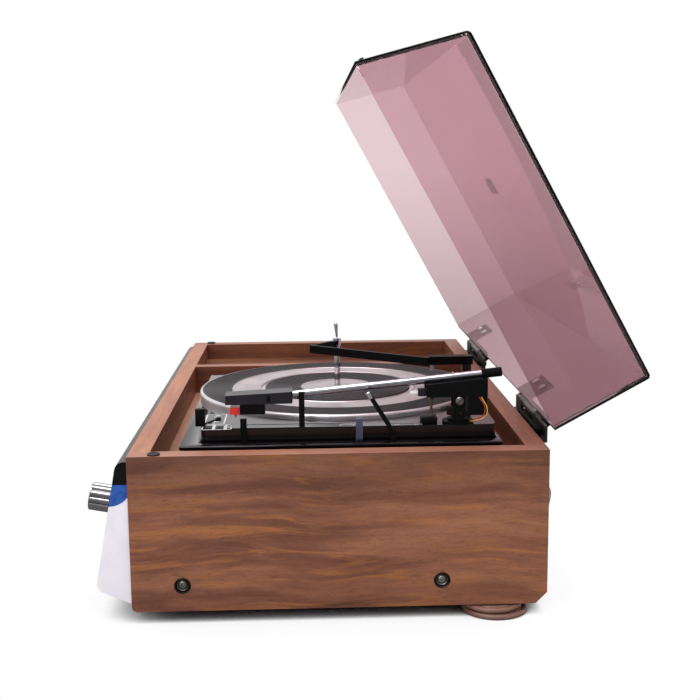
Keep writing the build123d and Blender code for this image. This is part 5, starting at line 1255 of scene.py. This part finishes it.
@dataclass
class ControlDeck:
    """Enamelled deck plate, the black control plate with its printing, and the levers on it."""

    top: float = 161.5
    ink: float = 0.12
    frames: tuple = (((207.0, -119.0), (248.0, -101.5), 1.1),
                     ((251.5, -119.5), (269.2, -94.0), 1.2), ((258.5, 2.4), (263.6, 14.4), 0.9))
    bars: tuple = (
        (214.0, -109.0, 2.2, 4.4), (218.5, -111.0, 2.2, 2.2), (226.0, -109.0, 2.2, 4.4),
        (230.5, -111.0, 2.2, 2.2), (238.0, -109.0, 2.2, 4.4), (242.5, -111.0, 2.2, 2.2),
        (260.3, -109.5, 16.0, 2.2), (260.3, -99.0, 16.0, 2.6), (263.9, -40.0, 0.35, 84.0))
    tick_x: float = 261.8
    tick_ys: tuple[float, ...] = (44.5, 47.0, 51.5, 54.0, 69.0, 71.0, 74.5)
    # Flat black strips in place of the lever slots: painted shade
    recesses: tuple = ((261.0, 8.4, 2.6, 9.6), (252.5, -37.0, 1.6, 88.0), (260.3, -114.5, 9.0, 6.6),
                       (260.3, -104.3, 9.0, 6.0), (258.0, 80.0, 0.7, 72.0))
    border_low: Point = (-55.0, -138.5, 146.45)
    border_high: Point = (283.0, 144.5, 150.1)
    border_inner: Corners = ((-55.0, -121.3, 146.45), (270.8, 141.3, 146.45))
    border_round: float = 1.1
    stud_at: tuple[float, float] = (228.0, -108.0)
    stud: Profile = ((0.0, 158.9), (2.0, 158.9), (2.0, 161.8), (2.6, 161.8), (2.6, 162.9),
                     (2.2, 163.2), (0.0, 163.2))
    grip: Corners = ((252.0, -126.0, 161.8), (258.0, -117.5, 177.5))
    arm_middle: Point = (241.5, -114.9, 162.3)
    arm_reach: Point = (14.5, 0.9, 0.5)
    arm_way: tuple[float, float] = (27.0, -13.75)
    cue_tip_ends: Corners = ((267.5, 29.6, 186.2), (267.5, 26.4, 192.4))

    def dash(self, piece: Piece, x: float, y: float, wide: float, long: float) -> None:
        """Adds a printed bar centred at x, y, wide along X and long along Y."""
        piece.block((x - wide / 2, y - long / 2, self.top - 0.05),
                    (x + wide / 2, y + long / 2, self.top + self.ink))

    def outline(self, piece: Piece, low: tuple[float, float], high: tuple[float, float],
                line: float) -> None:
        """Adds a printed rectangle between two corners, its line that wide."""
        middle = ((low[0] + high[0]) / 2, (low[1] + high[1]) / 2)
        wide, long = high[0] - low[0], high[1] - low[1]
        for x in (low[0], high[0]):
            self.dash(piece, x, middle[1], line, long + line)
        for y in (low[1], high[1]):
            self.dash(piece, middle[0], y, wide + line, line)

    def printing(self) -> None:
        """Lays the white printed frames and plain bars; they spell nothing."""
        piece = Piece("printed_frames")
        for low, high, line in self.frames:
            self.outline(piece, low, high, line)
        for bar in self.bars:
            self.dash(piece, *bar)
        for y in self.tick_ys:
            self.dash(piece, self.tick_x, y, 1.4, 1.6)
        piece.hand_over(WHITE_INK, "cabinet", "grey_plastic")

    def slots(self) -> None:
        """Adds flat matt black strips beside the levers: painted shade of their slots."""
        piece = Piece("lever_slot_shades")
        for recess in self.recesses:
            self.dash(piece, *recess)
        piece.hand_over(MATT_STYRENE, "cabinet", "matte_black")

    def deck_border(self) -> None:
        """Raises the deck plate's rolled border, which stands above the near rail."""
        piece = Piece("deck_border")
        left, front, low = self.border_low
        right, back, high = self.border_high
        (_, inner_front, _), (inner, inner_back, _) = self.border_inner
        outline = [(left, front, low), (right, front, low), (right, back, low), (left, back, low),
                   (left, inner_back, low), (inner, inner_back, low), (inner, inner_front, low),
                   (left, inner_front, low)]
        piece.prism(outline, (0.0, 0.0, high - low), self.border_round)
        piece.hand_over(DECK_ENAMEL, "cabinet", "black_steel", (), 40.0)

    def start_grip(self) -> None:
        """Builds the start lever: a flat-faced grip on a narrow arm, turning on its stud."""
        piece = Piece("start_lever_grip")
        piece.block(*self.grip, 0.5)
        low, high = (tuple(middle + sign * reach for middle, reach in
                           zip(self.arm_middle, self.arm_reach)) for sign in (-1, 1))
        across, along = self.arm_way
        piece.block(low, high, 0.3, Matrix.Rotation(atan2(along, across), 4, "Z"))
        piece.turned(self.stud, (*self.stud_at, 0.0), UP, 32)
        piece.hand_over(TEXTURED_STYRENE, "start_lever", "matte_black", ("start_lever",))

    def cue_tip(self) -> None:
        """Turns the bright ferrule on the end of the cueing lever."""
        piece = Piece("cue_lever_tip")
        piece.rod(*self.cue_tip_ends, 2.3, 28, 0.5)
        piece.hand_over(CHROME, "cue_lever", "bright_steel")

    def build(self) -> None:
        """Builds and dresses the deck."""
        dress(DECK_ENAMEL, "deck_plate")
        dress(SOFT_RUBBER, "deck_mounts")
        dress(GLOSS_STYRENE, "escutcheon")
        dress(TEXTURED_STYRENE, "speed_lever")
        dress(MATT_STYRENE, "cue_lever", "arm_rest")
        dress(SLATE_MOULDING, "size_lever")
        self.printing()
        self.slots()
        self.deck_border()
        self.start_grip()
        self.cue_tip()


@dataclass
class Tonearm:
    """Arm tube, headshell with its cartridge, housing, yoke and the works round the pivot."""

    pivot: Point = (255.0, 108.0, 183.0)
    notch: Corners = ((264.6, -62.4, 184.4), (265.15, -59.0, 190.6))
    dot: Profile = ((0.0, 0.0), (1.4, 0.0), (1.4, 0.5), (1.0, 0.8), (0.0, 0.9))
    dot_at: Point = (262.6, -60.6, 191.1)
    dot_way: Point = (0.0, -0.047, 1.0)
    tab: Corners = ((256.5, 64.5, 187.6), (261.5, 73.5, 191.4))
    tab_bracket: Corners = ((255.5, 71.5, 186.8), (262.6, 80.0, 193.6))
    post_block: Corners = ((247.0, 74.5, 161.5), (262.0, 89.0, 167.5))
    post: Profile = ((0.0, 0.0), (1.9, 0.0), (1.9, 1.4), (1.2, 1.8), (1.2, 14.0), (2.3, 14.3),
                     (2.3, 16.2), (1.8, 16.8), (0.0, 16.9))
    post_at: Point = (256.0, 84.0, 167.5)
    spring_at: Point = (261.0, 92.0, 175.0)
    spring_wire: Profile = ((2.5, 0.0), (3.1, 0.3), (2.5, 0.6), (2.0, 0.3))
    spring_way: Point = (0.1, 1.0, 0.05)
    spring_turns: int = 9
    spring_pitch: float = 1.1
    spring_rod: Corners = ((261.0, 88.6, 175.0), (261.0, 103.5, 175.0))
    plate: tuple[Point, ...] = ((262.6, 97.0, 170.0), (262.6, 112.0, 168.5), (262.6, 113.5, 173.0),
                                (262.6, 106.0, 177.0), (262.6, 97.0, 178.0))
    plate_thick: float = 1.2
    pins: tuple = (((263.0, 109.5, 171.4), (266.2, 109.5, 171.4), 1.6),
                   ((263.0, 100.2, 174.6), (265.6, 100.2, 174.6), 1.3))
    pivot_out: float = 12.0
    pivot_head: Profile = ((0.0, -8.0), (1.5, -8.0), (1.5, 0.0), (3.6, 0.0), (3.6, 0.7),
                           (3.0, 1.3), (1.6, 1.6), (0.0, 1.7))
    slot_out: float = 1.4
    slot_reach: Point = (0.4, 3.0, 0.4)
    slot_turn: float = 50.0
    lead_radius: float = 0.5
    red_run: tuple[Point, ...] = ((265.6, 125.0, 187.2), (266.5, 127.0, 183.5),
                                  (268.6, 130.0, 180.0), (269.4, 130.6, 173.0),
                                  (267.0, 127.0, 167.5), (263.0, 119.5, 164.2))
    yellow_run: tuple[Point, ...] = ((265.9, 127.0, 187.2), (267.4, 129.0, 183.0),
                                     (269.8, 132.4, 178.0), (270.2, 132.0, 170.5),
                                     (267.0, 126.0, 165.5), (262.0, 118.0, 163.4))

    def headshell_marks(self) -> None:
        """Adds a thin matt black block on the headshell's side, painted shade of the finger notch,
        and the white dot above it.
        """
        notch = Piece("headshell_notch_shade")
        notch.block(*self.notch, 0.2)
        notch.hand_over(MATT_STYRENE, "tonearm", "matte_black")
        dot = Piece("headshell_dot")
        dot.turned(self.dot, self.dot_at, self.dot_way, 24)
        dot.hand_over(WHITE_STYRENE, "tonearm", "grey_plastic")

    def finger_tab(self) -> None:
        """Adds the white finger tab and its dark bracket at the front of the housing."""
        tab = Piece("finger_tab")
        tab.block(*self.tab, 1.6, segments=4)
        tab.hand_over(WHITE_STYRENE, "tonearm", "grey_plastic")
        bracket = Piece("finger_bracket")
        bracket.block(*self.tab_bracket, 0.6)
        bracket.hand_over(SATIN_STYRENE, "tonearm", "matte_black")

    def lift_post(self) -> None:
        """Adds the brass post that lifts the arm, on its black block."""
        block = Piece("lift_block")
        block.block(*self.post_block, 0.8)
        block.hand_over(MATT_STYRENE, "cabinet", "matte_black")
        post = Piece("lift_post")
        post.turned(self.post, self.post_at, UP, 28)
        post.hand_over(DULL_BRASS, "cabinet", "bearing_brass")

    def works(self) -> None:
        """Adds the set-down spring and its bracket beside the pivot."""
        piece = Piece("set_down_spring")
        x, y, z = self.spring_at
        for step in range(self.spring_turns):
            piece.turned(self.spring_wire, (x, y + step * self.spring_pitch, z),
                         self.spring_way, 20)
        piece.rod(*self.spring_rod, 0.9)
        piece.hand_over(ZINC_PLATE, "arm_swivel", "zinc_steel")
        bracket = Piece("set_down_bracket")
        bracket.prism(self.plate, (self.plate_thick, 0.0, 0.0), 0.25)
        for start, end, radius in self.pins:
            bracket.rod(start, end, radius, soft=0.3)
        bracket.hand_over(BLACKED_STEEL, "arm_swivel", "zinc_steel")

    def pivot_screws(self) -> None:
        """Turns the pivot screws' domed heads, with matt black blocks across them as painted shade
        of their slots.
        """
        heads = Piece("pivot_heads")
        slots = Piece("pivot_slot_shades")
        x, y, z = self.pivot
        for way in (1, -1):
            foot = x + way * self.pivot_out
            heads.turned(self.pivot_head, (foot, y, z), (way, 0, 0), 36)
            middle = (foot + way * self.slot_out, y, z)
            low, high = (tuple(place + sign * reach for place, reach in
                               zip(middle, self.slot_reach)) for sign in (-1, 1))
            slots.block(low, high, turn=Matrix.Rotation(radians(self.slot_turn), 4, "X"))
        heads.hand_over(ZINC_PLATE, "tonearm", "zinc_steel", ("pivot_screws",))
        slots.hand_over(MATT_STYRENE, "tonearm", "matte_black")

    def lead(self, name: str, finish: Finish, points: Sequence[Point]) -> None:
        """Lays one fine pickup lead from the housing down to the arm's base.

        Args:
            name: The piece's name.
            finish: Its sheath.
            points: The route's control points, from the housing.
        """
        made = lay_lead(name, finish, points, self.lead_radius, 8, 2)
        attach(made, "arm_swivel")
        length = self.measure(made)
        log.info("piece %s: %.1f mm", name, length / MM)

    def measure(self, made: bpy.types.Object) -> float:
        """Returns the length in metres of a curve's own line."""
        data = made.data.copy()
        data.bevel_depth = 0.0
        probe = bpy.data.objects.new("probe", data)
        mesh = bpy.data.meshes.new_from_object(probe)
        points = [vert.co.copy() for vert in mesh.vertices]
        bpy.data.objects.remove(probe)
        bpy.data.curves.remove(data)
        bpy.data.meshes.remove(mesh)
        return sum((b - a).length for a, b in zip(points, points[1:]))

    def build(self) -> None:
        """Builds and dresses the tonearm."""
        dress(SATIN_STYRENE, "headshell")
        dress(MATT_STYRENE, "cartridge", "arm_base", "arm_housing", "arm_yoke")
        dress(RED_STYRENE, "stylus_tab")
        dress(DRAWN_CHROME, "arm_tube")
        self.headshell_marks()
        self.finger_tab()
        self.lift_post()
        self.works()
        self.pivot_screws()
        self.lead("red_pickup_lead", RED_LEAD, self.red_run)
        self.lead("yellow_pickup_lead", YELLOW_LEAD, self.yellow_run)


@dataclass
class FrontPanel:
    """Visor, blue lens over the dial, brushed fascia, knobs and buttons."""

    lean: float = 10.6
    face_top: float = 143.8
    front_y: float = -180.0
    top_reach: float = 9.267
    tuning_at: tuple[float, float] = (268.0, 99.6)
    tuning: Profile = ((0.0, -13.0), (2.9, -13.0), (2.9, 1.5), (11.6, 1.5), (12.0, 1.8),
                       (12.0, 3.0), (11.2, 3.4), (10.4, 4.0), (10.4, 20.4), (11.6, 20.8),
                       (11.6, 21.4), (11.0, 21.8), (9.8, 21.8), (9.4, 21.2), (0.0, 20.9))
    tuning_ridges: tuple[int, Point] = (12, (12.5, 3.6, 21.2))
    small_z: float = 59.0
    small_knobs: tuple = (("volume_knob", 60.0), ("bass_knob", 104.0), ("treble_knob", 148.0))
    small: Profile = ((0.0, -13.0), (2.9, -13.0), (2.9, 1.5), (8.6, 1.5), (9.0, 1.8), (9.0, 3.0),
                      (8.2, 3.4), (7.4, 4.0), (7.4, 13.8), (8.4, 14.2), (8.4, 14.7), (7.6, 15.0),
                      (6.8, 14.9), (6.4, 14.4), (0.0, 14.2))
    small_ridges: tuple[int, Point] = (18, (9.0, 3.6, 14.3))
    ink: float = 0.12
    proud: float = 0.02
    dial_left: float = -225.0
    figure: float = 4.0
    upper_z: float = 117.6
    upper_step: float = 43.0
    lower_z: float = 107.0
    lower: tuple = ((-225, "53"), (-170, "60"), (-112, "70"), (-52, "80"), (30, "100"), (96, "120"),
                    (152, "140"), (205, "160"))
    mark_step: float = 10.75
    long_marks: tuple[float, float, float] = (2.2, 115.6, 113.0)
    short_marks: tuple[float, float, float] = (1.3, 115.9, 112.7)
    marks: int = 41
    mark_wide: float = 0.5
    dial_line: tuple[float, float, float] = (-10.0, 114.3, 446.0)
    dot_ring: float = 14.5
    dots: int = 11
    dot_angle: float = 27.0
    limits_out: float = 13.0
    limits_z: float = 41.5
    limits_size: float = 3.2
    switch_x: float = -255.0
    switch_words: tuple = (("ON", 70.0), ("OFF", 43.0))
    switch_size: float = 3.4
    rule_zs: tuple[float, ...] = (96.0, 36.5)
    rule_wide: float = 604.0

    def face_y(self, z: float) -> float:
        """Returns where the sloping face lies at height z."""
        return self.front_y - self.top_reach - (self.face_top - z) * tan(radians(self.lean))

    def outwards(self) -> Point:
        """Returns the sloping face's outward direction."""
        return (0.0, -cos(radians(self.lean)), sin(radians(self.lean)))

    def knob(self, name: str, at: tuple[float, float], profile: Profile,
             ridges: tuple[int, Point]) -> None:
        """Turns one chrome knob and sets round ridges about it.

        Args:
            name: The knob's node, which is its body's name too.
            at: Its place across the panel and its height.
            profile: Radius and height above the face.
            ridges: How many run along its grip, with their radius and two heights above the face.
        """
        piece = Piece(name + "_grip")
        x, z = at
        foot = (x, self.face_y(z), z)
        way = self.outwards()
        piece.turned(profile, foot, way, 72)
        count, (radius, low, high) = ridges
        turn = Vector(UP).rotation_difference(Vector(way)).to_matrix().to_4x4()
        ridge = radius * pi / count * 0.8
        out = radius - ridge
        for step in range(count):
            before = set(piece.bm.verts)
            piece.rod((out, 0.0, low), (out, 0.0, high), ridge, 16, 0.4)
            spin = Matrix.Rotation(2 * pi * step / count, 4, "Z")
            piece.place(piece.since(before), Matrix.Translation(foot) @ turn @ spin)
        piece.hand_over(KNOB_CHROME, name, "bright_steel", (name,), 28.0)

    def knobs(self) -> None:
        """Turns the tuning knob and the three small ones."""
        self.knob("tuning_knob", self.tuning_at, self.tuning, self.tuning_ridges)
        for name, x in self.small_knobs:
            self.knob(name, (x, self.small_z), self.small, self.small_ridges)

    def on_face(self, x: float, z: float) -> Matrix:
        """Returns the matrix that lays a flat drawing on the sloping face.

        Args:
            x: Where its origin goes, across the panel.
            z: The height of its origin.
        """
        out = Vector(self.outwards())
        across = Vector(SIDEWAYS)
        up = out.cross(across)
        foot = Vector((x, self.face_y(z), z)) + out * self.proud
        return Matrix.Translation(foot) @ Matrix((across, up, out)).transposed().to_4x4()

    def words(self, piece: Piece, text: str, size: float, x: float, z: float) -> None:
        """Adds raised figures to a piece, centred at x and standing on z.

        Args:
            piece: The piece that gets them.
            text: The figures.
            size: Their height in millimetres, about.
            x: Their middle across the panel.
            z: The height that they stand on.
        """
        data = bpy.data.curves.new("figures", "FONT")
        data.body = text
        data.size = size * 1.4
        data.extrude = self.ink / 2
        data.align_x = "CENTER"
        data.resolution_u = 3
        drawn = bpy.data.objects.new("figures", data)
        mesh = bpy.data.meshes.new_from_object(drawn)
        before = set(piece.bm.verts)
        piece.bm.from_mesh(mesh)
        bmesh.ops.remove_doubles(piece.bm, verts=piece.since(before), dist=0.002)
        piece.place(piece.since(before), self.on_face(x, z))
        bpy.data.objects.remove(drawn)
        bpy.data.curves.remove(data)
        bpy.data.meshes.remove(mesh)

    def line(self, piece: Piece, x: float, z: float, wide: float, tall: float) -> None:
        """Adds a flat bar on the sloping face, centred at x, z.

        Args:
            piece: The piece that gets it.
            x: Its middle across the panel.
            z: Its middle's height.
            wide: Its width.
            tall: Its height along the face.
        """
        before = set(piece.bm.verts)
        piece.block((-wide / 2, -tall / 2, 0.0), (wide / 2, tall / 2, self.ink))
        piece.place(piece.since(before), self.on_face(x, z))

    def dial_scale(self) -> None:
        """Prints two plain number scales with their graduations on the lens."""
        piece = Piece("dial_figures")
        for step, number in enumerate(range(88, 109, 2)):
            x = self.dial_left + step * self.upper_step
            self.words(piece, str(number), self.figure, x, self.upper_z)
        for x, text in self.lower:
            self.words(piece, text, self.figure, float(x), self.lower_z)
        for step in range(self.marks):
            tall, *heights = self.short_marks if step % 4 else self.long_marks
            for z in heights:
                self.line(piece, self.dial_left + step * self.mark_step, z, self.mark_wide, tall)
        self.line(piece, *self.dial_line, self.mark_wide)
        piece.hand_over(WHITE_INK, "cabinet", "grey_plastic")

    def panel_printing(self) -> None:
        """Prints the dots round the small knobs, ON and OFF by the button, and two fine lines."""
        piece = Piece("panel_printing")
        for _, x in self.small_knobs:
            for step in range(self.dots):
                angle = radians((step - (self.dots - 1) / 2) * self.dot_angle)
                self.line(piece, x + self.dot_ring * sin(angle),
                          self.small_z + self.dot_ring * cos(angle), 1.0, 1.0)
            self.words(piece, "0", self.limits_size, x - self.limits_out, self.limits_z)
            self.words(piece, "10", self.limits_size, x + self.limits_out, self.limits_z)
        for text, z in self.switch_words:
            self.words(piece, text, self.switch_size, self.switch_x, z)
        for z in self.rule_zs:
            self.line(piece, 0.0, z, self.rule_wide, self.mark_wide)
        piece.hand_over(DARK_INK, "cabinet", "matte_black")

    def build(self) -> None:
        """Builds and dresses the front."""
        dress(VISOR_STYRENE, "dial_visor")
        dress(MATT_STYRENE, "power_button", "selector_button")
        dress(LENS_ACRYLIC, "dial_lens")
        dress(FASCIA_METAL, "fascia")
        dress(RED_STYRENE, "dial_pointer")
        self.knobs()
        self.dial_scale()
        self.panel_printing()


def main() -> None:
    """Builds the scene in order."""
    for assembly in (Studio, MainsLead, Cabinet, DustCover, Turntable, ControlDeck, Tonearm,
                     FrontPanel):
        assembly().build()
    dress(ZINC_PLATE, "receiver_chassis")
    dress(PHENOLIC, "circuit_board")
    dress(LAMINATION, "power_transformer")


if __name__ == "__main__":
    main()
